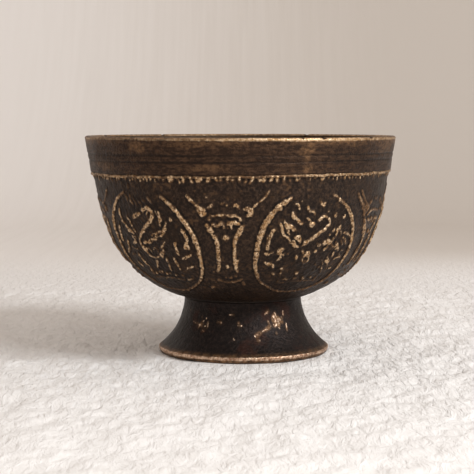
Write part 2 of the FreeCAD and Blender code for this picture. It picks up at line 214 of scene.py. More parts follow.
# ---------------------------------------------------------------- colours, set, light and camera
# The set, its light and the camera are placed in metres of the frame.
GROUND_DARK = (0.016, 0.010, 0.0075)
GROUND_LIGHT = (0.080, 0.048, 0.030)
BROWN_PATINA = (0.064, 0.035, 0.020)
BAND_DARK = (0.026, 0.0142, 0.009)
BAND_LIGHT = (0.074, 0.040, 0.0225)
INSIDE_DARK = (0.030, 0.019, 0.012)
INSIDE_LIGHT = (0.085, 0.054, 0.030)
RUBBED = (0.72, 0.525, 0.335)
RUBBED_DEEP = (0.40, 0.23, 0.10)
WARM_BROWN = (0.215, 0.114, 0.053)
# painted shade in crevices and grooves, and dark nicks and darker patina, all take this colour
SHADE_AND_DARK_MARKS = (0.008, 0.006, 0.005)
FOOT_DARK = (0.012, 0.0085, 0.0075)
FOOT_LIGHT = (0.038, 0.025, 0.020)
FOOT_TINT = (0.050, 0.018, 0.011)
FOOT_RUBBED = (0.76, 0.56, 0.40)
FOOT_RUBBED_DEEP = (0.34, 0.18, 0.11)
SOLDER_DARK = (0.024, 0.018, 0.015)
SOLDER_LIGHT = (0.055, 0.040, 0.030)
FLOOR_DARK = (0.85, 0.81, 0.775)
FLOOR_LIGHT = (0.91, 0.875, 0.84)
# the wall's tone: lit on the left, and painted shade on the right
WALL_LIT_LEFT = (0.895, 0.85, 0.81)
WALL_SHADED_RIGHT = (0.655, 0.595, 0.535)
BRASS_GRAIN = 0.00026
PLASTER_GRAIN = 0.0021
PLASTER_STRETCH = 0.42  # the grain is longer away from the camera than across it
FLOOR_ROUGHNESS = 0.0009
SWEEP_SIDE = 4.0
SWEEP_FRONT = -4.0
SWEEP_BEND_START = 0.66
SWEEP_BEND = 0.42
SWEEP_TOP = 2.2
GRAIN_BOX = (-0.26, -0.32, 0.26, 0.24)  # left, front, right and back of the floor's fine mesh
GRAIN_FADE = 0.05
GRAIN_STEPS = 460
FLOOR_TURN = 1.05  # the noise closes on itself, so the floor takes less than a whole turn of it
BEND_STEPS = 40
BEDDED = (0.037, 0.047)  # the floor rises to the foot between these distances from its middle
BEDDED_SHARE = 0.85
# where the floor takes on the wall's tone, painted shade and all, away from the camera
BACKDROP_START = 0.24
BACKDROP_END = 0.46
WORLD_COLOUR = (1.0, 0.92, 0.86)
WORLD_STRENGTH = 0.59
# name, place, target, size, power, colour
LIGHTS = [
    ("key", (0.72, -0.58, 0.66), (0.0, 0.0, 0.03), (0.45, 0.25), 10.0, (0.92, 0.96, 1.0)),
    ("front", (0.0, -0.75, 0.9), (0.0, -0.25, 0.0), (0.6, 0.4), 0.9, (1.0, 0.97, 0.94)),
]
LENS = 106.9
SENSOR_WIDTH = 36.0
CAMERA_PLACE = (-0.00257, -0.5479, 0.09058)
CAMERA_PITCH = 0.0840417

# ---------------------------------------------------------------- relief, drawn
# A stroke is (half width, points); a point is (bearing from the motif's middle, drop).
FRAME_LEFT_BIRD = [
    (10.6, 4.8, 0.35), (15, 8, 0.8), (18.7, 12.5, 0.95), (22, 18, 0.9), (23.7, 24, 0.75),
    (23.8, 30, 0.62), (22.5, 36, 0.54), (17.6, 41.8, 0.42), (7, 46.7, 0.36), (-8, 46.6, 0.36),
    (-18.5, 39.4, 0.4), (-23, 31.5, 0.5), (-23.2, 23, 0.62), (-21.8, 16, 0.68),
    (-17.5, 10.3, 0.62), (-12.5, 6, 0.55), (-7.5, 3.5, 0.35),
]
FRAME_RIGHT_BIRD = [
    (-11.5, 5, 0.45), (-15, 7.5, 1.0), (-18.6, 10.6, 1.22), (-21.5, 15.5, 1.15),
    (-23.5, 21.4, 0.95), (-24.4, 29, 0.75), (-23.3, 36, 0.6), (-19.5, 41.3, 0.45),
    (-8, 47, 0.36), (9, 46.8, 0.36), (18.6, 41.5, 0.42), (22, 34, 0.5), (22.7, 27, 0.54),
    (21.5, 20.5, 0.62), (19.2, 15.3, 0.68), (15.5, 10.5, 0.6), (10.6, 6.8, 0.5), (6, 4.2, 0.3),
]
LEFT_BIRD = [
    # neck, hooked over into the head, and the breast below it
    (0.58, [(1, 10.3), (3, 9.4), (5, 9.8), (6, 11.4), (5.4, 13), (4, 14.3), (2, 15.8),
            (0, 17.2), (-2, 18.8), (-3.8, 20.3), (-5, 22)]),
    (0.3, [(-5, 22), (-5, 24.2), (-4, 26.6), (-2.2, 28.6), (0.5, 29.3), (3, 28.6),
           (5, 27.2), (7, 25.4)]),
    (0.45, [(-4.2, 24.2), (-3.6, 25)]),
    (0.25, [(4, 10.6), (3, 11.6), (3.4, 13)]),
    # back, wing and tail feathers
    (0.62, [(-3, 23.2), (-1.2, 22.4)]),
    (0.6, [(-0.4, 22.9), (1.4, 22.3)]),
    (0.42, [(2, 22.2), (3.6, 21.6), (5.2, 20.8)]),
    (0.36, [(2.6, 19.9), (5, 19.2), (7.4, 18.2)]),
    (0.52, [(7, 18.6), (9, 17.8), (11.2, 16.3)]),
    (0.3, [(11.2, 16.3), (11.3, 14.3)]),
    (0.26, [(4.5, 20.4), (7.5, 20), (10.5, 18.6)]),
    (0.3, [(-3.2, 26.6), (-2.4, 25.3), (-0.8, 25.6), (0, 27)]),
    (0.3, [(0.8, 25.8), (2.4, 24.8), (3.8, 25.6), (3, 26.8)]),
    (0.28, [(5, 25.2), (7, 23.8), (9, 22)]),
    (0.25, [(4.6, 29), (6.2, 27.6), (7.6, 26)]),
    # legs
    (0.4, [(0.8, 30.8), (-0.8, 32.5), (-1.9, 34.3)]),
    (0.4, [(7, 28.8), (6.8, 31.5), (6, 34.8)]),
    # flower by the head
    (0.72, [(-4.6, 12.9), (-2.8, 12.1)]),
    (0.66, [(-2.2, 11.9), (-0.6, 11.5)]),
    # leaves on the left
    (0.45, [(-13, 10), (-13.8, 12), (-13.4, 14), (-12, 16), (-10.3, 18)]),
    (0.42, [(-8.8, 13), (-7.8, 15), (-6.8, 17), (-6.1, 19.2)]),
    (0.5, [(-10.4, 19), (-8.8, 18.4), (-7.6, 19.2)]),
    (0.6, [(-9.6, 20.6), (-8.2, 21.2), (-7.2, 20.8)]),
    (0.6, [(-10, 23.4), (-8.4, 23), (-7.4, 23.6)]),
    (0.3, [(-12.6, 25), (-10.6, 26.2), (-8.6, 26)]),
    (0.55, [(-17.3, 17), (-18.8, 20), (-19.3, 23.5)]),
    (0.45, [(-14.5, 22.5), (-16, 26), (-19, 28)]),
    (0.36, [(-13, 28), (-16, 29.3)]),
    (0.5, [(-10.5, 28), (-9.8, 31), (-9.2, 33.5)]),
    (0.32, [(-8.3, 33), (-7.6, 37)]),
    (0.36, [(-15.5, 32), (-14, 34.5)]),
    (0.36, [(-12, 36), (-9, 38)]),
    # plants on the right
    (0.6, [(18, 16.8), (19.3, 19), (19.7, 21.6)]),
    (0.65, [(19.3, 22.3), (18.5, 24), (20, 24.3)]),
    (0.55, [(13.6, 22.2), (13.4, 24.4), (14.2, 27)]),
    (0.42, [(15.2, 29), (17.6, 28), (19.7, 27)]),
    (0.45, [(11, 28.8), (11.6, 32), (11.9, 34.4)]),
    (0.4, [(14.5, 34.6), (17, 33.2), (19.3, 32.3)]),
    (0.55, [(13.6, 13.4), (14.2, 13.8)]),
    (0.32, [(9, 13), (8.6, 16)]),
    (0.32, [(8.9, 10), (9.6, 14)]),
    # thin hanging leaves under the rim
    (0.32, [(-5, 2.4), (-4.4, 0.4)]),
    (0.24, [(-6.6, 3.8), (-6, 6), (-5.4, 9)]),
    (0.24, [(-4.6, 4.6), (-4.1, 6.4), (-3.4, 8.8)]),
    (0.22, [(-2.8, 5.4), (-1.8, 7), (-1.2, 9)]),
    (0.22, [(-0.4, 5.8), (0.6, 7.6), (1, 9)]),
    (0.22, [(2.4, 6), (3.4, 7.6), (5, 8.4)]),
    (0.22, [(4.6, 5), (6, 6.6), (7.6, 8)]),
    (0.24, [(7.6, 10.4), (8.6, 13), (8.4, 15.4)]),
    # the ground that it stands on
    (0.3, [(-11, 40.2), (-6, 39.5), (-1, 39), (3, 39), (7, 39.4), (12, 40)]),
    (0.36, [(13, 39.8), (16.5, 38.8)]),
]
LEFT_BIRD_DOTS = [
    (-5.4, 37.2, 0.6), (-2.5, 36.6, 0.6), (-0.6, 36.3, 0.5), (2, 36.9, 0.65),
    (4, 36.9, 0.5), (7.6, 37.1, 0.55), (11.5, 37.4, 0.5), (-8.6, 37.8, 0.5),
]
RIGHT_BIRD = [
    # neck and hooked head
    (0.5, [(-5, 23.8), (-3.4, 22.2), (-1.4, 20.8)]),
    (0.68, [(-1.6, 20.9), (1, 19.4), (3, 18), (4.6, 17)]),
    (0.4, [(4.8, 16.8), (6.2, 15.4), (6, 14), (5, 12.9)]),
    (0.5, [(4.6, 12.7), (3.2, 12), (2, 12.5)]),
    (0.7, [(0.9, 13.7), (2.2, 13.1)]),
    # knot of plaited leaves at the neck's foot
    (0.7, [(-8.3, 20), (-6.8, 19.8), (-6.3, 21.3)]),
    (0.65, [(-9, 22), (-8, 24), (-7, 24)]),
    # branches over the head
    (0.52, [(-10.7, 10.5), (-9.8, 12), (-8.2, 13.6), (-6.2, 15)]),
    (0.36, [(-5, 8), (-3.8, 9.5), (-2, 10.3), (-0.7, 11.5)]),
    (0.36, [(-4.7, 12.5), (-3, 14)]),
    (0.75, [(-2.6, 15.4), (-0.8, 14.8)]),
    (0.45, [(0.7, 6.5), (1.6, 8), (2.9, 7.3)]),
    (0.36, [(-10, 7.5), (-8.7, 7.8), (-8, 9.3)]),
    (0.45, [(12.5, 16), (11.8, 17.5), (10.6, 19)]),
    # leaves on the left
    (0.42, [(-15.2, 14.4), (-14.2, 17), (-13, 19.4), (-11, 20.2)]),
    (0.4, [(-14, 13.2), (-12.6, 16), (-11, 19)]),
    (0.5, [(-11.6, 15), (-9.8, 16.3), (-8.4, 17.9)]),
    (0.3, [(-10.8, 20.5), (-10, 22.5)]),
    (0.62, [(-17.7, 16.8), (-19, 19.5), (-19.6, 22), (-19.4, 24.6)]),
    (0.5, [(-20.6, 26.3), (-19.2, 26.6)]),
    (0.5, [(-13, 24.4), (-14.5, 25), (-15, 26.6)]),
    (0.45, [(-14, 26), (-13.6, 28), (-14.9, 29.4)]),
    # belly
    (0.5, [(-6.2, 27.6), (-6, 29)]),
    (0.5, [(-4.2, 25.9), (-3, 27), (-1.5, 26.2), (-0.2, 27.6)]),
    (0.5, [(1.5, 26.1), (2.8, 25.9)]),
    (0.24, [(-3.4, 28.6), (-3, 30), (-1.8, 30.8), (-0.4, 30.4), (0, 29.2), (-1, 28),
            (-2.4, 27.6), (-3.4, 28.6)]),
    (0.2, [(-2.2, 28.9), (-1.2, 29.5)]),
    # wing
    (0.5, [(2.7, 23.6), (3.9, 23.1)]),
    (0.9, [(5.6, 22.9), (7.4, 22.4), (8.8, 22.6)]),
    (0.4, [(8.6, 22.4), (10.6, 20.8), (11.6, 18.8)]),
    (0.5, [(9.4, 23.6), (11.4, 24.2), (13.6, 25.2)]),
    (0.2, [(11.6, 31.6), (13.4, 33.4), (14, 35.4)]),
    (0.2, [(9.6, 28.6), (11.4, 30), (12.8, 32)]),
    (0.2, [(7.6, 30), (9, 31.6), (10, 33.4)]),
    (0.2, [(12, 17), (13.4, 18.6), (14, 20.4)]),
    (0.2, [(16.4, 27.4), (17.8, 28.6), (19.4, 28.4)]),
    (0.45, [(7, 25.6), (8.2, 24.6)]),
    (0.55, [(12, 22.6), (13.5, 24), (15, 26)]),
    (0.5, [(13.2, 27), (13, 29)]),
    (0.4, [(15.5, 20.4), (17.5, 22.5), (19.5, 24.6)]),
    (0.3, [(14.3, 21.5), (16.5, 24)]),
    (0.42, [(17, 26.1), (19, 26.4)]),
    (0.36, [(15, 29.9), (17, 29.4), (19.6, 29.3)]),
    (0.36, [(15, 18.9), (18.5, 19.8), (20.5, 21)]),
    # leaves under the bird
    (0.42, [(10, 30.6), (11.6, 31.4)]),
    (0.36, [(4.6, 31.7), (5.6, 32.6)]),
    (0.45, [(15.6, 34.6), (16.8, 34.3)]),
    (0.3, [(10, 33.5), (11.5, 36.5)]),
    (0.4, [(-20.4, 29.8), (-18.4, 30.4), (-16.4, 31.3), (-15.9, 32.7)]),
    (0.3, [(-19.7, 30.8), (-17.8, 31.9)]),
    (0.5, [(-12.7, 33.2), (-11.3, 33.9)]),
    (0.36, [(-16, 35.5), (-14.8, 36.3)]),
    (0.3, [(-12, 35), (-11.5, 38)]),
    # the ground that it stands on
    (0.28, [(-13, 41.3), (-6, 40.9), (2, 40.7), (9, 41), (14, 41.3)]),
]
RIGHT_BIRD_DOTS = [
    (-7.4, 6.3, 0.35), (4.6, 10.5, 0.4), (8.5, 11.8, 0.8), (13.5, 12.7, 0.6), (7.4, 19.3, 0.5),
    (9.1, 18, 0.5), (-6.7, 17.2, 0.4), (-17.7, 25.9, 0.5), (-10.6, 26.6, 0.4),
    (-12.4, 27, 0.4), (7.8, 33.4, 0.5), (5.8, 35.2, 0.4), (-17.6, 35.2, 0.4),
    (-3.5, 35.6, 0.75), (-8.4, 39.1, 0.6), (-7.6, 39.1, 0.6), (-3.6, 38.9, 0.6),
    (-3, 38.8, 0.6), (1.6, 38.5, 0.6), (2.2, 38.9, 0.6), (6.8, 39.2, 0.6), (10.7, 39.6, 0.5),
    (-11.7, 40, 0.5), (14, 39.8, 0.4),
]
PILLAR = [
    # the two lines that fall from the rim and end in curls
    (0.5, [(-14.3, 3.6), (-13.3, 5), (-12, 6.5), (-10.5, 7.8), (-9.3, 8.7)]),
    (0.55, [(-10.2, 9.6), (-9, 8.9), (-7.9, 9.1), (-7.7, 10.2), (-8.7, 11.4)]),
    (0.4, [(16, 2), (14.7, 4.3), (13, 5.8), (11.3, 7.2), (10.3, 8)]),
    (0.7, [(7.2, 8.9), (8.6, 8.8), (9.6, 9.9), (9.2, 11), (7.9, 11.5)]),
    (0.5, [(-10.6, 9.2), (-9.6, 10), (-9, 11.6)]),
    # beads and the arch over the capital
    (0.4, [(-6.3, 8.7), (-4.7, 7.3)]),
    (0.36, [(3.2, 7.9), (3.7, 7), (4.7, 7.8), (5.3, 8.5)]),
    (0.42, [(-6.8, 12.8), (-5.5, 11.5), (-3.5, 10.9), (-1, 10.8), (2, 11), (4.2, 11.5),
            (5.7, 12.5)]),
    # capital with three short hanging strokes
    (0.52, [(-5.8, 14.7), (-3.8, 15.1), (-2.2, 14.4)]),
    (0.56, [(0.5, 14.6), (2.5, 14.2), (4.7, 14.5)]),
    (0.3, [(-2.5, 13.9), (-1, 14.2)]),
    (0.26, [(-1, 14.5), (-1, 16.7)]),
    (0.26, [(0.4, 15), (0.5, 16.3)]),
    (0.26, [(1.8, 15), (1.9, 16.5)]),
    # uprights, heavier where they spread
    (0.78, [(-7.2, 15.3), (-6.3, 17), (-5, 18.8), (-4.3, 21.5)]),
    (0.6, [(-4.3, 20.5), (-3.9, 23), (-3.9, 27), (-4.2, 30), (-4.5, 32.5), (-5.2, 34)]),
    (0.78, [(6.5, 15), (5.2, 17), (4, 18.8), (3.1, 21.5)]),
    (0.6, [(3.1, 20.5), (2.9, 23), (2.9, 27), (3, 30), (3.2, 32.5), (3.8, 33.8)]),
    (0.3, [(4.7, 29), (3.7, 30.3)]),
    # bead between the uprights, base arc and the marks under it
    (0.45, [(-1.3, 19.5), (0.8, 20.2)]),
    (0.36, [(-6.5, 38.8), (-4, 39.8), (-1, 40.2), (2, 40), (4.2, 39.3), (6, 38.5)]),
    (0.5, [(-11, 44.2), (-9.8, 43.2)]),
    (0.5, [(6, 40.3), (6.8, 41.8)]),
]
PILLAR_DOTS = [
    (-2.7, 6.8, 0.4), (-1.3, 7, 0.4), (-0.4, 6.6, 0.36), (0.6, 7.7, 0.4), (5.5, 6.7, 0.32),
    (-6.7, 4.7, 0.36), (-0.3, 19.7, 0.95), (-0.6, 32.2, 0.55), (-0.8, 31, 0.35),
    (0.3, 37.6, 0.5), (2.7, 36.8, 0.55), (-7.3, 34.7, 0.42), (-2, 37.5, 0.36),
    (-7.5, 40.2, 0.42),
]
PILLAR_BRANCH = [
    (0.5, [(-16.5, 4.5), (-12.5, 8.5), (-9.5, 12.5), (-7.5, 16.5), (-6, 20)]),
]

FRAME_HEIGHT = 0.85
STROKE_HEIGHT = 0.62
TOOTH_HEIGHT = 0.62
TOOTH_PITCH = 1.9
LONG_TOOTH_PITCH = 2.3
TEETH_MIDDLE = -3.0  # the bearing around which the teeth are long
TEETH_AGAIN = TEETH_MIDDLE + 150.0
CRUMBS = 70
CRUMB_DROP = 23.5
CRUMB_SPREAD = (21.0, 19.0)  # bearing and drop
STROKE_SWELL = 1.38
MEDALLION_BEARING = 30.0
MEDALLION_DROP = 25.5
MEDALLION_HALF_SIZE = (23.0, 21.0)  # bearing and drop
MEDALLION_DARKNESS = 0.3
STROKE_JITTER = 0.12
RELIEF_SEED = 7
MM_PER_DEGREE = 0.85  # across a motif, about


def smoothstep(low, high, value):
    """0 below low, 1 above high, and a smooth rise between them."""
    t = np.clip((np.asarray(value, float) - low) / (high - low), 0.0, 1.0)
    return t * t * (3.0 - 2.0 * t)


def degrees_from(bearings, bearing):
    """How far each bearing is from one of them, from -180 to 180."""
    return (bearings - bearing + 180.0) % 360.0 - 180.0


def evenly_around(count):
    """Evenly spaced bearings, and how far around each of them is in turns."""
    bearings = FIRST_BEARING + np.arange(count) * 360.0 / count
    return bearings, (bearings - FIRST_BEARING) / 360.0


def wall_point(drop):
    """Radius, height and outward normal of the bowl's outer wall at each drop."""
    drop = np.asarray(drop, float)
    on_side = drop < SIDE_DROP
    on_side_angle = SIDE_START + drop / SIDE_RADIUS
    on_belly_angle = BELLY_END + (drop - SIDE_DROP) / BELLY_RADIUS
    angle = np.where(on_side, on_side_angle, on_belly_angle)
    reach = np.where(on_side, SIDE_RADIUS, BELLY_RADIUS)
    centre_radius = np.where(on_side, SIDE_CENTRE[0], BELLY_CENTRE[0])
    centre_height = np.where(on_side, SIDE_CENTRE[1], BELLY_CENTRE[1])
    radius = centre_radius + reach * np.cos(angle)
    height = centre_height - reach * np.sin(angle)
    return radius, height, np.cos(angle), -np.sin(angle)


def arc_points(start, end, bulge, count):
    """Points from start to end along an arc that bows out by bulge to the right of the way."""
    start = np.array(start, float)
    end = np.array(end, float)
    chord = end - start
    length = np.hypot(*chord)
    across = np.array([chord[1], -chord[0]]) / length
    reach = (length**2 / 4 + bulge**2) / (2 * bulge)
    half = math.asin(length / (2 * reach))
    centre = (start + end) / 2 + across * (bulge - reach)
    angles = np.linspace(-half, half, count)
    along = chord / length
    return centre + reach * (np.outer(np.cos(angles), across) + np.outer(np.sin(angles), along))


def circle_points(centre, radius, start, end, count, side=1):
    """Points on an arc; angles are measured downwards from level, inwards if side is -1."""
    angles = np.linspace(start, end, count)
    return np.stack(
        [centre[0] + side * radius * np.cos(angles), centre[1] - radius * np.sin(angles)], axis=1
    )


def outline_normals(points):
    """Unit normals to the right of the way along an outline."""
    tangent = np.gradient(points, axis=0)
    tangent /= np.hypot(tangent[:, 0], tangent[:, 1])[:, None]
    return np.stack([tangent[:, 1], -tangent[:, 0]], axis=1)


def lattice_noise(down, around, cell_down, cells_around, seed):
    """Smooth noise from -1 to 1 on a grid; it closes on itself around the bowl.

    down is in millimetres and around in whole turns.
    """
    rng = np.random.default_rng(seed)
    down = (np.asarray(down, float) - np.min(down)) / cell_down
    around = np.mod(np.asarray(around, float), 1.0) * cells_around
    lattice = rng.uniform(-1, 1, (int(np.max(down)) + 2, cells_around))
    row = np.floor(down).astype(int)
    column = np.floor(around).astype(int)
    row_part = smoothstep(0, 1, down - row)[:, None]
    column_part = smoothstep(0, 1, around - column)[None, :]
    left = column % cells_around
    right = (column + 1) % cells_around
    upper, lower = (
        lattice[at][:, left] * (1 - column_part) + lattice[at][:, right] * column_part
        for at in (row, row + 1)
    )
    return upper * (1 - row_part) + lower * row_part


def layered_noise(down, around, layers):
    """Noises added up; a layer is (strength, cell down in mm, cells around, seed)."""
    return sum(strength * lattice_noise(down, around, *cell) for strength, *cell in layers)


def smooth_path(points, spacing):
    """Points along a smooth curve through the given points, whose rows may hold a width."""
    points = np.array(points, float)
    padded = np.vstack([2 * points[0] - points[1], points, 2 * points[-1] - points[-2]])
    pieces = []
    for index in range(len(points) - 1):
        before, start, end, after = padded[index:index + 4]
        length = math.hypot((end[0] - start[0]) * MM_PER_DEGREE, end[1] - start[1])
        steps = max(2, int(length / spacing))
        t = np.linspace(0, 1, steps, endpoint=False)[:, None]
        pieces.append(
            0.5 * (2 * start + (end - before) * t
                   + (2 * before - 5 * start + 4 * end - after) * t**2
                   + (3 * start - before - 3 * end + after) * t**3)
        )
    return np.vstack(pieces + [points[-1:]])


class Pressed:
    """A field over a turned surface, in millimetres, that strokes are pressed up from.

    rows are each row's drop or height, and radii its distance from the axis.
    """

    CHUNK = 12

    def __init__(self, rows, radii, columns):
        self.rows = np.asarray(rows, float)
        self.radii = np.asarray(radii, float)
        self.columns = columns
        self.height = np.zeros((len(self.rows), columns))

    def stamp(self, bearings, drops, half_widths, peak):
        """Raise a rounded ridge through these points."""
        for start in range(0, len(bearings), self.CHUNK):
            part = slice(start, start + self.CHUNK)
            self._stamp_part(bearings[part], drops[part], half_widths[part], peak)

    def _stamp_part(self, bearings, drops, half_widths, peak):
        """Raise the piece of the ridge that lies near a few of its points."""
        reach = half_widths.max()
        near = (self.rows > drops.min() - reach) & (self.rows < drops.max() + reach)
        rows = np.flatnonzero(near)
        degrees = math.degrees(reach / self.radii[rows].min())
        step = 360.0 / self.columns
        first = int(math.floor((bearings.min() - degrees - FIRST_BEARING) / step))
        last = int(math.ceil((bearings.max() + degrees - FIRST_BEARING) / step))
        columns = np.arange(first, last + 1)
        column_bearings = FIRST_BEARING + columns * step
        turned = np.radians(column_bearings[None, :, None] - bearings)
        across = turned * self.radii[rows][:, None, None]
        down = self.rows[rows][:, None, None] - drops
        share = ((across**2 + down**2) / half_widths**2).min(axis=2)
        ridge = peak * np.sqrt(np.clip(1.0 - share, 0.0, 1.0))
        where = np.ix_(rows, columns % self.columns)
        self.height[where] = np.maximum(self.height[where], ridge)

    def stroke(self, middle, side, half_width, points, rng, peak=STROKE_HEIGHT):
        """A stroke about a middle bearing; side is -1 to mirror it."""
        path = smooth_path(points, 0.2)
        wander = rng.normal(0, STROKE_JITTER, (2,))
        along = np.linspace(0, math.pi, len(path))
        taper = 0.72 + 0.28 * np.sqrt(np.sin(along).clip(0, 1))
        self.stamp(
            middle + side * path[:, 0] + wander[0],
            path[:, 1] + wander[1],
            half_width * taper,
            peak * rng.uniform(0.85, 1.1),
        )

    def dot(self, middle, side, bearing, drop, half_width, peak=STROKE_HEIGHT):
        """A round bead."""
        place = np.array([[middle + side * bearing], [drop], [half_width]])
        self.stamp(*place, peak)

    def frame(self, middle, side, points):
        """A medallion's frame, whose points hold its half width as well."""
        path = smooth_path(points, 0.25)
        self.stamp(middle + side * path[:, 0], path[:, 1], path[:, 2], FRAME_HEIGHT)


def carve_relief(drops):
    """The height field of all five panels and the teeth under the rim band."""
    relief = Pressed(drops, wall_point(drops)[0], COLUMNS)
    rng = np.random.default_rng(RELIEF_SEED)
    first = MEDALLION_BEARING - PITCH
    for panel in range(PANELS):
        middle = first + panel * PITCH
        # the three panels at the back are mirrored
        side = 1 if panel < 2 else -1
        outline, strokes, dots = (
            (FRAME_LEFT_BIRD, LEFT_BIRD, LEFT_BIRD_DOTS),
            (FRAME_RIGHT_BIRD, RIGHT_BIRD, RIGHT_BIRD_DOTS),
        )[panel % 2]
        relief.frame(middle, side, outline)
        draw_motif(relief, middle, side, strokes, dots, rng)
        scatter_crumbs(relief, middle, rng)
        draw_motif(relief, middle - PITCH / 2, 1, PILLAR, PILLAR_DOTS, rng)
        if panel % 2 == 0:
            draw_motif(relief, middle - PITCH / 2, 1, PILLAR_BRANCH, [], rng)
    carve_teeth(relief, rng)
    return relief.height


def scatter_crumbs(relief, middle, rng):
    """Small casting crumbs over a medallion's ground."""
    spread_wide, spread_down = CRUMB_SPREAD
    for _ in range(CRUMBS):
        angle = rng.uniform(0, 2 * math.pi)
        reach = math.sqrt(rng.uniform(0, 1))
        bearing = spread_wide * reach * math.cos(angle)
        drop = CRUMB_DROP + spread_down * reach * math.sin(angle)
        half_width = rng.uniform(0.3, 0.55)
        relief.dot(middle, 1, bearing, drop, half_width, rng.uniform(0.2, 0.42))


def draw_motif(relief, middle, side, strokes, dots, rng):
    """Every stroke and bead of one motif."""
    for half_width, points in strokes:
        relief.stroke(middle, side, half_width * STROKE_SWELL, points, rng)
    for bearing, drop, half_width in dots:
        relief.dot(middle, side, bearing, drop, half_width * STROKE_SWELL)


def carve_teeth(relief, rng):
    """The row of uneven teeth that hangs from the string under the rim band."""
    middle = FIRST_BEARING
    while middle < FIRST_BEARING + 360.0:
        share = long_teeth(middle)
        length = 1.0 + 0.3 * share + rng.uniform(-0.45, 0.4)
        lean = rng.normal(0, 0.35 + 0.3 * share)
        half_width = 0.48 + 0.16 * share + rng.uniform(-0.12, 0.16)
        points = [(0, TOP_DROP), (lean, TOP_DROP + length)]
        relief.stroke(middle, 1, half_width, points, rng, TOOTH_HEIGHT)
        pitch = TOOTH_PITCH + (LONG_TOOTH_PITCH - TOOTH_PITCH) * share
        middle += pitch * rng.uniform(0.8, 1.2)


def long_teeth(bearings):
    """1 where the teeth are long and the string above them is dull, 0 where not."""
    return np.maximum(
        smoothstep(24, 18, np.abs(degrees_from(bearings, TEETH_MIDDLE))),
        smoothstep(26, 16, np.abs(degrees_from(bearings, TEETH_AGAIN))),
    )


def blur(field, passes):
    """Soften a height field; columns wrap around."""
    for _ in range(passes):
        field = (np.roll(field, 1, 1) + 2 * field + np.roll(field, -1, 1)) / 4
        padded = np.vstack([field[:1], field, field[-1:]])
        field = (padded[:-2] + 2 * padded[1:-1] + padded[2:]) / 4
    return field


# ---------------------------------------------------------------- meshes
class Turned:
    """A turned mesh made ring by ring; neighbouring rings may have different column counts."""

    def __init__(self):
        self.rings = []
        self.along = []
        self.masks = {}
        self.last = None

    def add(self, radius, height, bearings, **masks):
        """Add one ring; radius and height are one number or one for each column."""
        count = len(bearings)
        angles = np.radians(bearings)
        radius = np.broadcast_to(np.asarray(radius, float), (count,))
        height = np.broadcast_to(np.asarray(height, float), (count,))
        ring = np.stack(
            [radius * np.sin(angles) + LEAN * height, -radius * np.cos(angles), height], axis=1
        )
        place = (radius.mean(), height.mean())
        travelled = self.along[-1] + math.dist(place, self.last) if self.rings else 0.0
        self.last = place
        self.along.append(travelled)
        self.rings.append(ring)
        for name, values in masks.items():
            self.masks.setdefault(name, {})[len(self.rings) - 1] = values
        return travelled

    def pole(self, height):
        """Add a point on the axis as a ring of one."""
        return self.add(0.0, height, [0.0])

    def build(self, name, charts, closed=False):
        """Make the object; closed joins the last ring to the first."""
        starts = np.concatenate([[0], np.cumsum([len(ring) for ring in self.rings])])
        faces, corners = self._join_rings(starts, closed)
        mesh = bpy.data.meshes.new(name)
        mesh.from_pydata((np.vstack(self.rings) * MM).tolist(), [], faces)
        uvs = place_on_charts(np.array(corners), charts)
        mesh.uv_layers.new(name=BAKE_UV).data.foreach_set("uv", uvs.astype(np.float32).ravel())
        for mask, stored in self.masks.items():
            values = np.zeros(starts[-1], np.float32)
            for index, part in stored.items():
                values[starts[index]:starts[index + 1]] = part
            mesh.attributes.new(mask, "FLOAT", "POINT").data.foreach_set("value", values)
        mesh.polygons.foreach_set("use_smooth", np.ones(len(mesh.polygons), bool))
        mesh.update()
        return add_object(name, mesh)

    def _join_rings(self, starts, closed):
        """Faces between the rings, and each corner's and its face's place along and around."""
        faces = []
        corners = []
        last = len(self.rings) - 1
        pairs = [(index, index + 1) for index in range(last)]
        if closed:
            pairs.append((last, 0))
        for low, high in pairs:
            # the faces that close the mesh take up one millimetre more on their chart
            low_along = self.along[low]
            high_along = self.along[high] if high else low_along + 1.0
            counts = len(self.rings[low]), len(self.rings[high])
            for low_columns, high_columns, turn in ring_faces(*counts):
                face = []
                for ring, columns, at in (
                    (low, low_columns, low_along), (high, high_columns, high_along)
                ):
                    count = len(self.rings[ring])
                    face += [starts[ring] + column % count for column in columns]
                    corners += [
                        (at, column_turn(column, count, turn), low_along, turn)
                        for column in columns
                    ]
                faces.append(face)
        return faces, corners


def add_object(name, data):
    """A new object in the scene."""
    made = bpy.data.objects.new(name, data)
    bpy.context.scene.collection.objects.link(made)
    return made


def ring_faces(low_count, high_count):
    """Corner columns in two neighbouring rings, and the middle of the turn, for each face."""
    counts = (low_count, high_count)
    count = max(counts) if 1 in counts else min(counts)
    for face in range(count):
        low = face_columns(face, low_count, count)
        high = face_columns(face, high_count, count)
        yield low, high[::-1], (face + 0.5) / count


def face_columns(face, ring_count, face_count):
    """The columns of one ring that one face touches; a pole has only one."""
    if ring_count == 1:
        return [0]
    step = ring_count // face_count
    return list(range(face * step, face * step + step + 1))


def column_turn(column, count, face_turn):
    """A corner's place around the ring, from 0 to 1; a pole takes its face's."""
    return face_turn if count == 1 else column / count


def place_on_charts(corners, charts):
    """UV of every corner; each chart covers the faces from one distance along to another."""
    along, turn, face_along, face_turn = corners.T
    uvs = np.zeros((len(corners), 2))
    for start, end, place in charts:
        inside = (face_along >= start - 1e-6) & (face_along < end - 1e-6)
        share = (along[inside] - start) / (end - start)
        uvs[inside] = place(share, turn[inside], face_turn[inside])
    return uvs


def on_panels(cells):
    """Chart that cuts a band of the surface into equal panels, one to a cell of the UV square."""
    cells = np.array(cells, float)

    def place(share, turn, face_turn):
        """UV at these shares of the way along and turns around."""
        panel = np.minimum((face_turn * len(cells)).astype(int), len(cells) - 1)
        x0, y0, x1, y1 = cells[panel].T
        across = turn * len(cells) - panel
        return np.stack([x0 + (x1 - x0) * across, y0 + (y1 - y0) * share], axis=1)

    return place


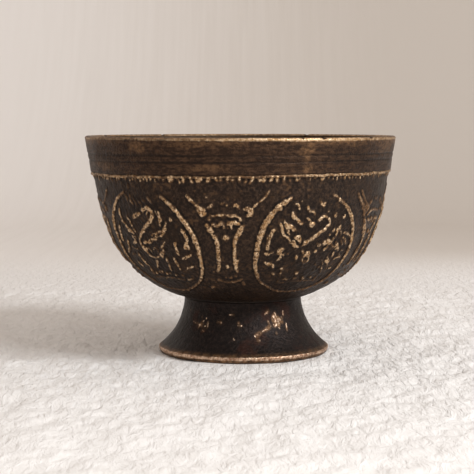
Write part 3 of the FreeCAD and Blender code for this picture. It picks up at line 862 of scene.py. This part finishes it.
def on_disc(centre, radius, pole_first):
    """Chart that lays a cap out as a disc."""

    def place(share, turn, _face_turn):
        """UV at these shares of the way along and turns around."""
        reach = radius * np.clip(share if pole_first else 1.0 - share, 0.0, 1.0)
        angle = 2 * math.pi * turn
        return np.stack(
            [centre[0] + reach * np.cos(angle), centre[1] + reach * np.sin(angle)], axis=1
        )

    return place


def grid_cells(columns, rows):
    """Equal cells of the UV square with a gap around each."""
    return [
        (
            x / columns + CELL_GAP,
            y / rows + CELL_GAP,
            (x + 1) / columns - CELL_GAP,
            (y + 1) / rows - CELL_GAP,
        )
        for y in range(rows)
        for x in range(columns)
    ]


def strip_charts(out_along, end_along, count):
    """Charts for a ring in four strips: this many for its outside, and the others for the rest."""
    strips = grid_cells(1, 4)
    return [
        (0.0, out_along, on_panels(strips[:count])),
        (out_along, end_along + 1.0, on_panels(strips[count:])),
    ]


def add_outline(turned, points, bearings, **masks):
    """Add a ring at every point of an outline."""
    for radius, height in points:
        turned.add(radius, height, bearings, **masks)
    return turned.along[-1]


# ---------------------------------------------------------------- the bowl
def build_bowl():
    """The bowl as one closed surface: boss, seat, relief, string, band, lip and inside."""
    coarse = BEARINGS[::COARSE]
    corner_in, corner_up = BOSS_CORNER
    turned = Turned()
    turned.pole(BOSS_BOTTOM)
    end = np.linspace((2, BOSS_BOTTOM), (BOSS_RADIUS - corner_in, BOSS_BOTTOM), 10)
    side = np.linspace((BOSS_RADIUS, BOSS_BOTTOM + corner_up), (BOSS_RADIUS, NECK_HEIGHT), 4)
    add_outline(turned, np.vstack([end, side]), coarse)
    neck_along = turned.add(NECK_RADIUS - 0.3, NECK_HEIGHT, coarse)
    tooth_height, tooth_wear = add_outer_wall(turned)
    add_string(turned, tooth_height, tooth_wear)
    add_band(turned)
    lip_along = add_lip(turned)
    end_along = add_inside(turned)
    cells = grid_cells(3, 2)
    charts = [
        (0.0, neck_along, on_disc(*BOSS_DISC, pole_first=True)),
        (neck_along, lip_along, on_panels(cells[:PANELS])),
        (lip_along, end_along, on_disc(*INSIDE_DISC, pole_first=False)),
    ]
    return turned.build("relief_bowl", charts)


def add_outer_wall(turned):
    """The wall from the neck up to the string; gives the relief and wear of its top row."""
    rows = int((NECK_DROP - TOP_DROP) / WALL_ROW)
    drops = np.linspace(NECK_DROP, TOP_DROP, rows)
    order = drops[::-1]
    relief = roughen(blur(carve_relief(order), 1), order)
    wear = wear_of(relief, order)
    around = blur(relief, 9)
    # painted shade on the ground beside the raised strokes, and darker patina inside the medallions
    crevice_shade_and_dark_patina = 0.9 * smoothstep(0.02, 0.16, around - relief)
    crevice_shade_and_dark_patina = np.maximum(crevice_shade_and_dark_patina, MEDALLION_DARKNESS * inside_medallions(order))
    crumbs = layered_noise(order, TURNS, CRUMB_GRAIN)
    soft = np.maximum(0.34 * smoothstep(0.5, 1.1, crumbs), 0.8 * smoothstep(0.12, 0.35, relief))
    fade = smoothstep(NECK_DROP, NECK_DROP - 2.0, order)[:, None]
    raised = (relief + layered_noise(order, TURNS, WALL_GRAIN)) * fade
    radius, height, out, up = wall_point(order)
    for row in reversed(range(rows)):
        shift = band_shift(height[row])
        turned.add(
            radius[row] + raised[row] * out[row],
            height[row] + raised[row] * up[row] + shift,
            BEARINGS,
            worn=wear[row],
            soft=soft[row],
            dark=crevice_shade_and_dark_patina[row],
        )
    return relief[0], wear[0]


def inside_medallions(drops):
    """1 on the ground inside the medallions' frames, where the patina is darkest."""
    half_wide, half_tall = MEDALLION_HALF_SIZE
    off = (BEARINGS - MEDALLION_BEARING + PITCH / 2) % PITCH - PITCH / 2
    down = (drops - MEDALLION_DROP) / half_tall
    return smoothstep(1.02, 0.9, np.hypot(off / half_wide, down[:, None]))


def roughen(relief, drops):
    """Give a height field crumbly edges and uneven tops, as of a worn sand casting."""
    rows, columns = np.indices(relief.shape)
    down = 0.9 * lattice_noise(drops, TURNS, 1.3, 270, 16)
    across = lattice_noise(drops, TURNS, 1.3, 270, 17)
    moved = relief[
        np.clip(np.rint(rows + down).astype(int), 0, len(drops) - 1),
        np.rint(columns + across).astype(int) % COLUMNS,
    ]
    pitted = 1.0 + 0.3 * lattice_noise(drops, TURNS, 1.0, 330, 14)
    pitted -= 0.55 * smoothstep(0.45, 0.8, lattice_noise(drops, TURNS, 0.8, 420, 20))
    return blur(moved, 1) * pitted


def band_shift(height):
    """How far the string's tilt lifts each column at a height."""
    share = smoothstep(58, 69, height) * smoothstep(83, 72, height)
    return BAND_TILT * share * np.sin(np.radians(BEARINGS))


def wear_of(relief, drops):
    """How bright each point of the wall is rubbed, from 0 to 1; low down it is also dimmed as
    painted shade.
    """
    uneven = layered_noise(drops, TURNS, WEAR_GRAIN)
    # low on the bowl the relief is less rubbed and darker: partly less wear, partly painted shade
    # under the belly
    less_rubbed_and_shaded_low = smoothstep(31, 42, drops)[:, None]
    high_up = (smoothstep(9, 3, drops) * (0.4 + 0.6 * smoothstep(-0.6, 0.8, drops)))[:, None]
    threshold = 0.26 + 0.08 * uneven + 0.1 * less_rubbed_and_shaded_low
    dull = patches(DULL_PLACES, drops, 0.5 * uneven)
    kept = (1 - 0.5 * less_rubbed_and_shaded_low) * (1 - 0.35 * high_up) * (1 - dull)
    speckled = 1 - 0.6 * smoothstep(0.3, 0.75, lattice_noise(drops, TURNS, 0.9, 380, 23))
    return smoothstep(threshold - 0.14, threshold + 0.2, relief) * kept * speckled


def add_string(turned, tooth_height, tooth_wear):
    """The half round string under the band, with the roots of the teeth on its lower side."""
    angles = np.linspace(0, math.pi, STRING_ROWS)
    rub = 0.5 + 0.5 * lattice_noise(angles, TURNS, 4.0, 110, 31)
    kept = 1.0 - 0.5 * long_teeth(BEARINGS)
    wobble = 0.26 * lattice_noise(angles, TURNS, 9.0, 130, 33)[0]
    bulge = STRING_BULGE * (1 + 0.5 * lattice_noise(angles, TURNS, 9.0, 200, 32)[0])
    for index, angle in enumerate(angles):
        height = BAND_FOOT[1] + STRING_HEIGHT * (1 - math.cos(angle)) / 2
        crest = math.sin(angle)
        line = smoothstep(0.0, 0.6, crest) * (0.25 + 0.42 * rub[index]) * kept
        low = smoothstep(2.2, 1.4, angle)
        turned.add(
            BAND_FOOT[0] + np.maximum(bulge * crest, tooth_height * low),
            height + band_shift(height) + wobble,
            BEARINGS,
            worn=np.clip(np.maximum(line, tooth_wear * low), 0, 1),
            soft=0.9 * crest * (0.4 + 0.6 * kept),
            polish=0.4,
        )


def add_band(turned):
    """The turned rim band, with lathe marks and two deeper lines that are painted darker, as
    painted shade in their grooves.
    """
    heights = np.linspace(BAND_FOOT[1] + STRING_HEIGHT + 0.1, LIP_HEIGHT, BAND_ROWS)
    rough = layered_noise(heights, TURNS, BAND_GRAIN)
    worn, soft = band_wear(heights)
    groove_shade_kept = np.clip(0.6 + 0.8 * lattice_noise(heights, TURNS, 99.0, 14, 45)[0], 0.1, 1)
    for index, height in enumerate(heights):
        line = max(math.exp(-(((height - at) / TURNED_WIDTH) ** 2)) for at in TURNED_LINES)
        turned.add(
            RIM_RADIUS - BAND_TAPER * (LIP_HEIGHT - height) + rough[index] - TURNED_DEPTH * line,
            height + band_shift(height),
            BEARINGS,
            band=1.0,
            worn=worn[index],
            soft=soft[index],
            # painted shade in the two turned grooves
            dark=0.75 * line * groove_shade_kept,
            polish=lip_line(height),
        )


def lip_line(heights):
    """1 along the thin line just under the lip, and 0 away from it."""
    return smoothstep(1.0, 0.35, LIP_HEIGHT - heights)


def lip_wear_and_highlight(bearings):
    """How bright the lip is, from 0 to 1: rubbed all round, with a painted highlight that makes it
    brightest where the key light's highlight falls.
    """
    off = degrees_from(bearings, LIP_HIGHLIGHT_BEARING)
    return 0.5 + 0.5 * np.exp(-((off / LIP_HIGHLIGHT_WIDTH) ** 2))


def band_wear(heights):
    """How far the band is rubbed: bright along the lip, with the lip's painted highlight on one
    side, warm in the patches of BAND_PATCHES.
    """
    fine = lattice_noise(heights, TURNS, 1.0, 200, 43)
    broad = lattice_noise(heights, TURNS, 3.0, 26, 44)
    depth = LIP_HEIGHT - heights
    # the bright line under the lip is rubbed, and carries the lip's painted highlight on one side
    edge = lip_line(heights)[:, None] * (0.95 + 0.2 * fine + 0.2 * broad) * lip_wear_and_highlight(BEARINGS)
    warm = smoothstep(3.2, 0.3, depth)[:, None] * (0.5 + 0.6 * broad + 0.25 * fine)
    warm = np.maximum(0.9 * warm, 0.8 * patches(BAND_PATCHES, heights, fine))
    return np.clip(edge, 0, 1), np.clip(warm, 0, 1)


def patches(places, heights, fine):
    """Ragged spots; each place is (bearing, height, half width, half height, strength)."""
    field = np.zeros((len(heights), COLUMNS))
    for bearing, height, half_wide, half_tall, strength in places:
        across = degrees_from(BEARINGS, bearing) / half_wide
        distance = np.hypot(across, ((heights - height) / half_tall)[:, None])
        field = np.maximum(field, strength * smoothstep(1.25, 0.35, distance + 0.45 * fine))
    return field


def add_lip(turned):
    """The rounded top of the rim, with a few nicks."""
    middle = RIM_RADIUS - LIP_THICKNESS / 2
    rise = DESIGN_HEIGHT - LIP_HEIGHT
    angles = np.linspace(LIP_CUT, math.pi - LIP_CUT, LIP_ROWS)
    nicks = np.zeros(COLUMNS)
    for bearing, width, depth in LIP_NICKS:
        off = degrees_from(BEARINGS, bearing)
        nicks = np.maximum(nicks, depth * np.exp(-((off / width) ** 2)))
    nicks += 0.06 * np.abs(lattice_noise(angles, TURNS, 9.0, 160, 51)[0])
    uneven = lattice_noise(angles, TURNS, 1.0, 70, 52)
    bare = lip_wear_and_highlight(BEARINGS)
    for index, angle in enumerate(angles):
        outer = smoothstep(1.25, 0.45, angle)
        inner = smoothstep(1.6, 2.2, angle)
        # the lip's outer round is rubbed, and brightened more on one side as a painted highlight
        rub = np.maximum(bare * (0.2 + 0.75 * outer), 0.6 * inner)
        along = turned.add(
            middle + LIP_THICKNESS / 2 * math.cos(angle),
            LIP_HEIGHT + rise * math.sin(angle) - nicks,
            BEARINGS,
            band=1.0,
            worn=np.clip(rub + 0.12 * uneven[index] - 2.5 * nicks, 0, 1),
            soft=0.5 + 0.5 * max(outer, inner),
            polish=1.0,
            dark=np.clip(2.0 * nicks - 0.2, 0, 0.9),
        )
    return along


def add_inside(turned):
    """The plain inside, down to the floor of the bowl."""
    side_reach = SIDE_RADIUS - WALL
    belly_reach = BELLY_RADIUS - WALL
    knee_angle = math.asin((SIDE_CENTRE[1] - KNEE_HEIGHT) / side_reach)
    knee = (SIDE_CENTRE[0] + side_reach * math.cos(knee_angle), KNEE_HEIGHT)
    floor = BELLY_CENTRE[1] - belly_reach
    outline = np.vstack([
        np.linspace((RIM_RADIUS - LIP_THICKNESS, LIP_HEIGHT), knee, 24),
        circle_points(SIDE_CENTRE, side_reach, knee_angle, BELLY_END, 28)[1:],
        circle_points(BELLY_CENTRE, belly_reach, BELLY_END, math.pi / 2, 70)[1:],
        np.linspace((BELLY_CENTRE[0], floor), (0.5, floor), 16)[1:],
    ])
    rows = np.arange(len(outline), dtype=float)
    rough = layered_noise(rows, TURNS[::COARSE], INSIDE_GRAIN)
    rubbed = smoothstep(0.1, 0.8, lattice_noise(rows, TURNS[::COARSE], 1.6, 7, 64))
    normals = outline_normals(outline)
    for index, (radius, height) in enumerate(outline):
        lift = rough[index] * smoothstep(0.0, 8.0, radius)
        turned.add(
            radius + lift * normals[index][0],
            height + lift * normals[index][1],
            BEARINGS[::COARSE],
            inside=1.0,
            soft=0.18 * rubbed[index],
        )
    return turned.pole(floor)


# ---------------------------------------------------------------- the foot and the solder
def foot_outside():
    """Outline of the foot's outside, from its edge up to the neck."""
    low = math.asin((FLARE_CENTRE[1] - FOOT_EDGE_HEIGHT) / FLARE_RADIUS)
    high = math.asin((FLARE_CENTRE[1] - FOOT_TOP) / FLARE_RADIUS)
    flare = circle_points(FLARE_CENTRE, FLARE_RADIUS, low, high, 56, side=-1)
    edge = arc_points((flare[0][0] - FOOT_EDGE_INSET, 0.0), flare[0], FOOT_EDGE_BULGE, 10)
    return np.vstack([edge[:-1], flare])


def foot_inside():
    """Outline of the foot's inside, from the neck down to the standing ring."""
    reach = FLARE_RADIUS + FOOT_WALL
    bore_end = FOOT_TOP - FOOT_BORE_DEPTH
    high = math.asin((FLARE_CENTRE[1] - bore_end) / reach)
    low = math.asin((FLARE_CENTRE[1] - FOOT_RING_HEIGHT) / reach)
    hollow = circle_points(FLARE_CENTRE, reach, high, low, 24, side=-1)
    return np.vstack([
        np.linspace((FOOT_BORE, FOOT_TOP), (FOOT_BORE, bore_end), 6),
        hollow,
        np.linspace(hollow[-1], (hollow[-1][0], 0.0), 4)[1:],
    ])


def build_foot():
    """The flared foot, hollow underneath, with its worn edge and patches of bare brass."""
    bearings, turns = evenly_around(FOOT_COLUMNS)
    turned = Turned()
    outside = foot_outside()
    lumps = layered_noise(outside[:, 1], turns, FOOT_GRAIN)
    worn, soft, dark = foot_wear(outside, turns)
    normals = outline_normals(outside)
    for index, (radius, height) in enumerate(outside):
        lift = lumps[index] * (0.3 if height < 0.3 else 1.0)
        out_along = turned.add(
            radius + lift * normals[index][0],
            max(height, 0.0) + lift * normals[index][1] * (height > 0.5),
            bearings,
            worn=worn[index],
            soft=soft[index],
            dark=dark[index],
            polish=0.8 * smoothstep(3.2, 2.0, height),
        )
    end_along = add_outline(turned, foot_inside(), bearings, inside=1.0)
    return turned.build("flared_foot", strip_charts(out_along, end_along, 3), closed=True)


def foot_wear(outside, turns):
    """How far the foot is rubbed: scratched bright marks, and a soft line along its edge, brighter
    on its upper part as a painted highlight.
    """
    heights = outside[:, 1]
    fine = lattice_noise(heights, turns, 0.9, 190, 74)
    streaks = lattice_noise(heights, turns, 0.5, 60, 76)
    marks = Pressed(heights, outside[:, 0], FOOT_COLUMNS)
    rng = np.random.default_rng(FOOT_MARK_SEED)
    for turn, strength in FOOT_MARK_TURNS:
        for half_width, points in FOOT_MARKS:
            marks.stroke(turn, 1, half_width, points, rng, strength)
    broken = smoothstep(-0.1, 0.45, lattice_noise(heights, turns, 0.7, 260, 78))
    marked = marks.height * (0.8 + 0.4 * fine) * (1 - 0.7 * broken)
    halo = 0.75 * smoothstep(0.05, 0.5, blur(marks.height, 5))
    # the edge line is rubbed brass; its upper part is made brighter than its lower part, a painted
    # highlight
    line = 0.3 + 0.7 * smoothstep(0.9, 1.5, heights)
    edge = (line * smoothstep(2.7, 2.1, heights))[:, None] * (0.85 + 0.25 * streaks + 0.2 * fine)
    under = smoothstep(0.1, 0.9, heights)[:, None] * np.ones(len(turns))
    nicked = smoothstep(0.62, 0.8, lattice_noise(heights, turns, 9.0, 110, 77))
    edge *= np.maximum(under, 1 - nicked)
    soft = smoothstep(3.9, 2.1, heights)[:, None] * (0.75 + 0.3 * fine)
    soft = np.maximum(soft, halo)
    return np.clip(np.maximum(edge, marked), 0, 1), np.clip(soft, 0, 1), nicked * (1 - under)


def build_seam():
    """The line of solder that shows between bowl and foot, and the film behind it."""
    bearings, turns = evenly_around(SEAM_COLUMNS)
    bead = 0.14 * lattice_noise([0.0], turns, 1.0, 48, 81)[0]
    reach = NECK_RADIUS + SOLDER_FILLET
    film = [
        (BOSS_RADIUS, BOSS_BOTTOM), (FOOT_BORE, BOSS_BOTTOM), (FOOT_BORE, FOOT_TOP),
        (NECK_RADIUS, FOOT_TOP),
    ]
    turned = Turned()
    add_outline(turned, film, bearings)
    turned.add(NECK_RADIUS + 0.35 + bead, FOOT_TOP + 0.1, bearings, worn=0.3)
    turned.add(reach - 0.15 + bead, FOOT_TOP + 0.35, bearings, worn=0.3)
    out_along = turned.add(reach, FOOT_TOP + 0.62, bearings)
    top = [(NECK_RADIUS, NECK_HEIGHT), (BOSS_RADIUS, NECK_HEIGHT)]
    end_along = add_outline(turned, top, bearings)
    return turned.build("solder_seam", strip_charts(out_along, end_along, 2), closed=True)


# ---------------------------------------------------------------- materials
class Surface:
    """A material with short ways to add its nodes."""

    def __init__(self, name):
        self.material = bpy.data.materials.new(name)
        self.material.use_nodes = True
        self.tree = self.material.node_tree
        self.shader = self.tree.nodes["Principled BSDF"]
        self.place = self._node("TexCoord", {})["Object"]

    def _node(self, kind, inputs, **settings):
        """Add a node, set it up, feed its inputs and give its outputs."""
        node = self.tree.nodes.new("ShaderNode" + kind)
        for name, value in settings.items():
            setattr(node, name, value)
        for name, value in inputs.items():
            self._feed(node.inputs[name], value)
        return node.outputs

    def _feed(self, socket, value):
        """Link a socket to another, or set it to a value; colours are given without alpha."""
        if isinstance(value, bpy.types.NodeSocket):
            self.tree.links.new(value, socket)
        elif socket.type == "RGBA":
            socket.default_value = (*value, 1.0)
        else:
            socket.default_value = value

    def mask(self, name):
        """A value stored on the mesh."""
        return self._node("Attribute", {}, attribute_name=name)["Fac"]

    def place_parts(self):
        """The place in X, Y and Z."""
        return self._node("SeparateXYZ", {"Vector": self.place})

    def noise(self, size, detail, roughness, seed=0.0, distortion=0.0, squeeze=(1.0, 1.0, 1.0)):
        """Noise from 0 to 1 with features of a size in metres, squeezed along X, Y and Z."""
        moved = self._node("Mapping", {
            "Vector": self.place, "Scale": squeeze, "Location": (seed, seed * 0.37, 0.0),
        })
        return self._node("TexNoise", {
            "Vector": moved["Vector"], "Scale": 1.0 / size, "Detail": detail,
            "Roughness": roughness, "Distortion": distortion,
        })["Fac"]

    def math(self, operation, first, second):
        """Arithmetic on two values."""
        return self._node("Math", {0: first, 1: second}, operation=operation)["Value"]

    def times(self, first, second):
        """The product of two values."""
        return self.math("MULTIPLY", first, second)

    def remap(self, value, low, high, to_low=0.0, to_high=1.0):
        """Smoothly remap a value from one range to another."""
        inputs = {
            "Value": value, "From Min": low, "From Max": high, "To Min": to_low, "To Max": to_high,
        }
        return self._node("MapRange", inputs, interpolation_type="SMOOTHSTEP")["Result"]

    def mix(self, share, first, second):
        """Mix two colours."""
        return self._node("Mix", {0: share, 6: first, 7: second}, data_type="RGBA")[2]

    def blend(self, share, first, second):
        """Mix two values."""
        return self._node("Mix", {0: share, 2: first, 3: second})[0]

    def bump(self, height, distance):
        """Fine grain that is too small for the mesh."""
        bumped = self._node("Bump", {"Height": height, "Distance": distance, "Strength": 1.0})
        self._feed(self.shader.inputs["Normal"], bumped["Normal"])

    def finish(self, **values):
        """Set the shader's inputs and give the material."""
        for name, value in values.items():
            self._feed(self.shader.inputs[name.replace("_", " ")], value)
        return self.material


def brass_finish(name, ground_dark, ground_light, tint, rubbed, rubbed_deep):
    """Patinated brass: dark on the low ground, with painted shade in its crevices, bare where the
    mesh says it is rubbed.
    """
    surface = Surface(name)
    coarse = surface.noise(0.009, 4.0, 0.65)
    fine = surface.noise(0.0012, 4.0, 0.7, seed=3.0)
    speck = surface.noise(0.0008, 2.0, 0.6, seed=5.0)
    ground = surface.mix(surface.remap(fine, 0.36, 0.82), ground_dark, ground_light)
    ground = surface.mix(surface.remap(coarse, 0.52, 0.72, 0.0, 0.6), ground, tint)
    patina = lay_patina(surface, ground, coarse, fine)
    bright = surface.mix(surface.remap(fine, 0.38, 0.62), rubbed_deep, rubbed)
    share = bare_share(surface, fine, speck)
    surface.bump(surface.math("ADD", fine, speck), BRASS_GRAIN)
    return surface.finish(
        Base_Color=surface.mix(share, patina, bright),
        Metallic=surface.blend(share, 0.65, 1.0),
        Roughness=surface.blend(share, surface.remap(coarse, 0.3, 0.7, 0.42, 0.58), 0.38),
        Specular_IOR_Level=0.25,
    )


def lay_patina(surface, ground, coarse, fine):
    """The wall's, the band's and the inside's patina, warmer where it is half rubbed, and darker
    where the dark mask lays painted shade or dark marks.
    """
    streak = surface.noise(0.004, 4.0, 0.65, seed=7.0, squeeze=(1.0, 1.0, 5.0))
    mottle = surface.noise(0.0016, 4.0, 0.7, seed=9.0, squeeze=(1.0, 1.0, 1.4))
    banding = surface.remap(surface.blend(0.5, streak, mottle), 0.42, 0.62)
    band = surface.mix(banding, BAND_DARK, BAND_LIGHT)
    clouding = surface.remap(surface.blend(0.6, coarse, fine), 0.34, 0.7)
    inside = surface.mix(clouding, INSIDE_DARK, INSIDE_LIGHT)
    patina = surface.mix(surface.mask("band"), ground, band)
    patina = surface.mix(surface.mask("inside"), patina, inside)
    soft = surface.times(surface.mask("soft"), surface.remap(mottle, 0.36, 0.60, 0.25, 1.0))
    patina = surface.mix(soft, patina, WARM_BROWN)
    # the dark mask: painted shade in crevices and grooves, dark nicks, and the medallions' darker
    # patina
    return surface.mix(surface.mask("dark"), patina, SHADE_AND_DARK_MARKS)


def bare_share(surface, fine, speck):
    """How bare the brass is, from 0 to 1: ragged and pitted, except where it is polished."""
    worn = surface.mask("worn")
    polish = surface.mask("polish")
    ragged = surface.times(surface.math("SUBTRACT", fine, 0.5), surface.blend(polish, 1.3, 0.4))
    pits = surface.blend(polish, surface.remap(speck, 0.37, 0.52, 0.1, 1.0), 1.0)
    share = surface.remap(surface.math("ADD", worn, ragged), 0.22, 0.85)
    return surface.times(surface.times(share, pits), surface.remap(worn, 0.02, 0.3))


def solder_finish():
    """Dark dull solder."""
    surface = Surface("solder_dark")
    grain = surface.noise(0.0008, 3.0, 0.6)
    return surface.finish(
        Base_Color=surface.mix(surface.remap(grain, 0.4, 0.7), SOLDER_DARK, SOLDER_LIGHT),
        Metallic=0.6,
        Roughness=surface.remap(grain, 0.3, 0.7, 0.45, 0.6),
    )


# ---------------------------------------------------------------- set, light and camera
def sweep_lines():
    """The sweep's lines across and away from the camera, and the heights of the latter."""
    left, front, right, back = GRAIN_BOX
    bend = np.linspace(0, math.pi / 2, BEND_STEPS)
    xs = np.concatenate([[-SWEEP_SIDE], np.linspace(left, right, GRAIN_STEPS), [SWEEP_SIDE]])
    ys = np.concatenate([
        [SWEEP_FRONT],
        np.linspace(front, back, GRAIN_STEPS),
        SWEEP_BEND_START + SWEEP_BEND * np.sin(bend),
        [SWEEP_BEND_START + SWEEP_BEND],
    ])
    zs = np.concatenate([
        np.zeros(GRAIN_STEPS + 1), SWEEP_BEND * (1 - np.cos(bend)), [SWEEP_TOP],
    ])
    return xs, ys, zs


def sweep_lift(xs, ys):
    """How far the floor is raised at each point: its grain, and where it rises to the foot."""
    left, front, right, back = GRAIN_BOX
    around = np.arange(len(xs)) / (FLOOR_TURN * len(xs))
    rough = layered_noise(np.arange(len(ys)), around, FLOOR_GRAIN) * FLOOR_ROUGHNESS
    shown = np.outer(fade_in(front, back, ys), fade_in(left, right, xs))
    bedded = smoothstep(BEDDED[1], BEDDED[0], np.hypot(xs, ys[:, None]))
    return (rough * shown - rough.max()) * (1 - BEDDED_SHARE * bedded)


def fade_in(low, high, values):
    """1 well between low and high, and 0 outside them."""
    return smoothstep(low, low + GRAIN_FADE, values) * smoothstep(high, high - GRAIN_FADE, values)


def build_sweep():
    """Rough white floor that curves up, well behind the bowl, into a pale wall."""
    xs, ys, zs = sweep_lines()
    lift = sweep_lift(xs, ys)
    columns = len(xs)
    grid = np.stack([
        np.broadcast_to(xs, lift.shape),
        np.broadcast_to(ys[:, None], lift.shape),
        zs[:, None] + lift,
    ], axis=2)
    start = (np.arange(len(ys) - 1)[:, None] * columns + np.arange(columns - 1)).ravel()
    faces = np.stack([start, start + 1, start + columns + 1, start + columns], axis=1)
    mesh = bpy.data.meshes.new("sweep")
    mesh.from_pydata(grid.reshape(-1, 3).tolist(), [], faces.tolist())
    mesh.polygons.foreach_set("use_smooth", np.ones(len(mesh.polygons), bool))
    sweep = add_object("sweep", mesh)
    sweep.data.materials.append(plaster_finish())
    sweep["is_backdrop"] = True


def plaster_finish():
    """White plaster: rough on the floor, nearly smooth further back, where painted shade darkens it
    towards the right.
    """
    surface = Surface("plaster")
    across, away, _up = surface.place_parts()
    backdrop = surface.remap(away, BACKDROP_START, BACKDROP_END)
    tone = surface.noise(0.05, 3.0, 0.5)
    floor = surface.mix(tone, FLOOR_DARK, FLOOR_LIGHT)
    weave = surface.noise(0.006, 3.0, 0.6, squeeze=(1.0, 0.04, 0.04))
    painted_shade_across = surface.math("ADD", across, surface.times(weave, 0.12))
    # painted shade: the wall's tone darkens from left to right, with a little wobble from the weave
    wall = surface.mix(surface.remap(painted_shade_across, -0.24, 0.24), WALL_LIT_LEFT, WALL_SHADED_RIGHT)
    grain = surface.noise(0.0030, 5.0, 0.6, distortion=0.5, squeeze=(1.0, PLASTER_STRETCH, 1.0))
    near = surface.remap(away, -0.2, -0.03, 0.5, 1.0)
    shown = surface.times(near, surface.remap(away, 0.2, BACKDROP_END, 1.0, 0.04))
    surface.bump(surface.times(grain, shown), PLASTER_GRAIN)
    # the far floor takes the wall's tone, with its painted shade
    colour = surface.mix(backdrop, floor, wall)
    return surface.finish(Base_Color=colour, Roughness=0.95, Specular_IOR_Level=0.2)


def add_light(name, place, target, size, power, colour):
    """An area light that faces a target; its size is its width and height."""
    data = bpy.data.lights.new(name, "AREA")
    data.shape = "RECTANGLE"
    data.size, data.size_y = size
    data.energy = power
    data.color = colour
    lamp = add_object(name, data)
    lamp.location = place
    lamp.rotation_euler = (Vector(target) - Vector(place)).to_track_quat("-Z", "Y").to_euler()


def add_camera():
    """The camera that sees the bowl from the front, a little above its rim."""
    data = bpy.data.cameras.new("camera")
    data.lens = LENS
    data.sensor_width = SENSOR_WIDTH
    camera = add_object("camera", data)
    camera.location = CAMERA_PLACE
    camera.rotation_euler = (math.pi / 2 - CAMERA_PITCH, 0.0, 0.0)
    bpy.context.scene.camera = camera


def set_world():
    """Pale surroundings."""
    world = bpy.data.worlds.new("world")
    world.use_nodes = True
    background = world.node_tree.nodes["Background"]
    background.inputs["Color"].default_value = (*WORLD_COLOUR, 1.0)
    background.inputs["Strength"].default_value = WORLD_STRENGTH
    bpy.context.scene.world = world
    bpy.context.scene.view_settings.view_transform = "Standard"


def place_piece(piece, node, material):
    """Give a finished piece its material, attach it to the root body, and hide the CAD node that it
    stands for.
    """
    piece.data.materials.append(material)
    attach(piece, "root")
    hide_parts(node)


place_piece(
    build_bowl(), "bowl",
    brass_finish("patinated_brass", GROUND_DARK, GROUND_LIGHT, BROWN_PATINA, RUBBED, RUBBED_DEEP),
)
place_piece(
    build_foot(), "foot",
    brass_finish("dark_foot_brass", FOOT_DARK, FOOT_LIGHT, FOOT_TINT, FOOT_RUBBED,
                 FOOT_RUBBED_DEEP),
)
place_piece(build_seam(), "solder_ring", solder_finish())
build_sweep()
for light in LIGHTS:
    add_light(*light)
add_camera()
set_world()

[[list(corner) for corner in box] for box in (cad_box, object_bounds())]
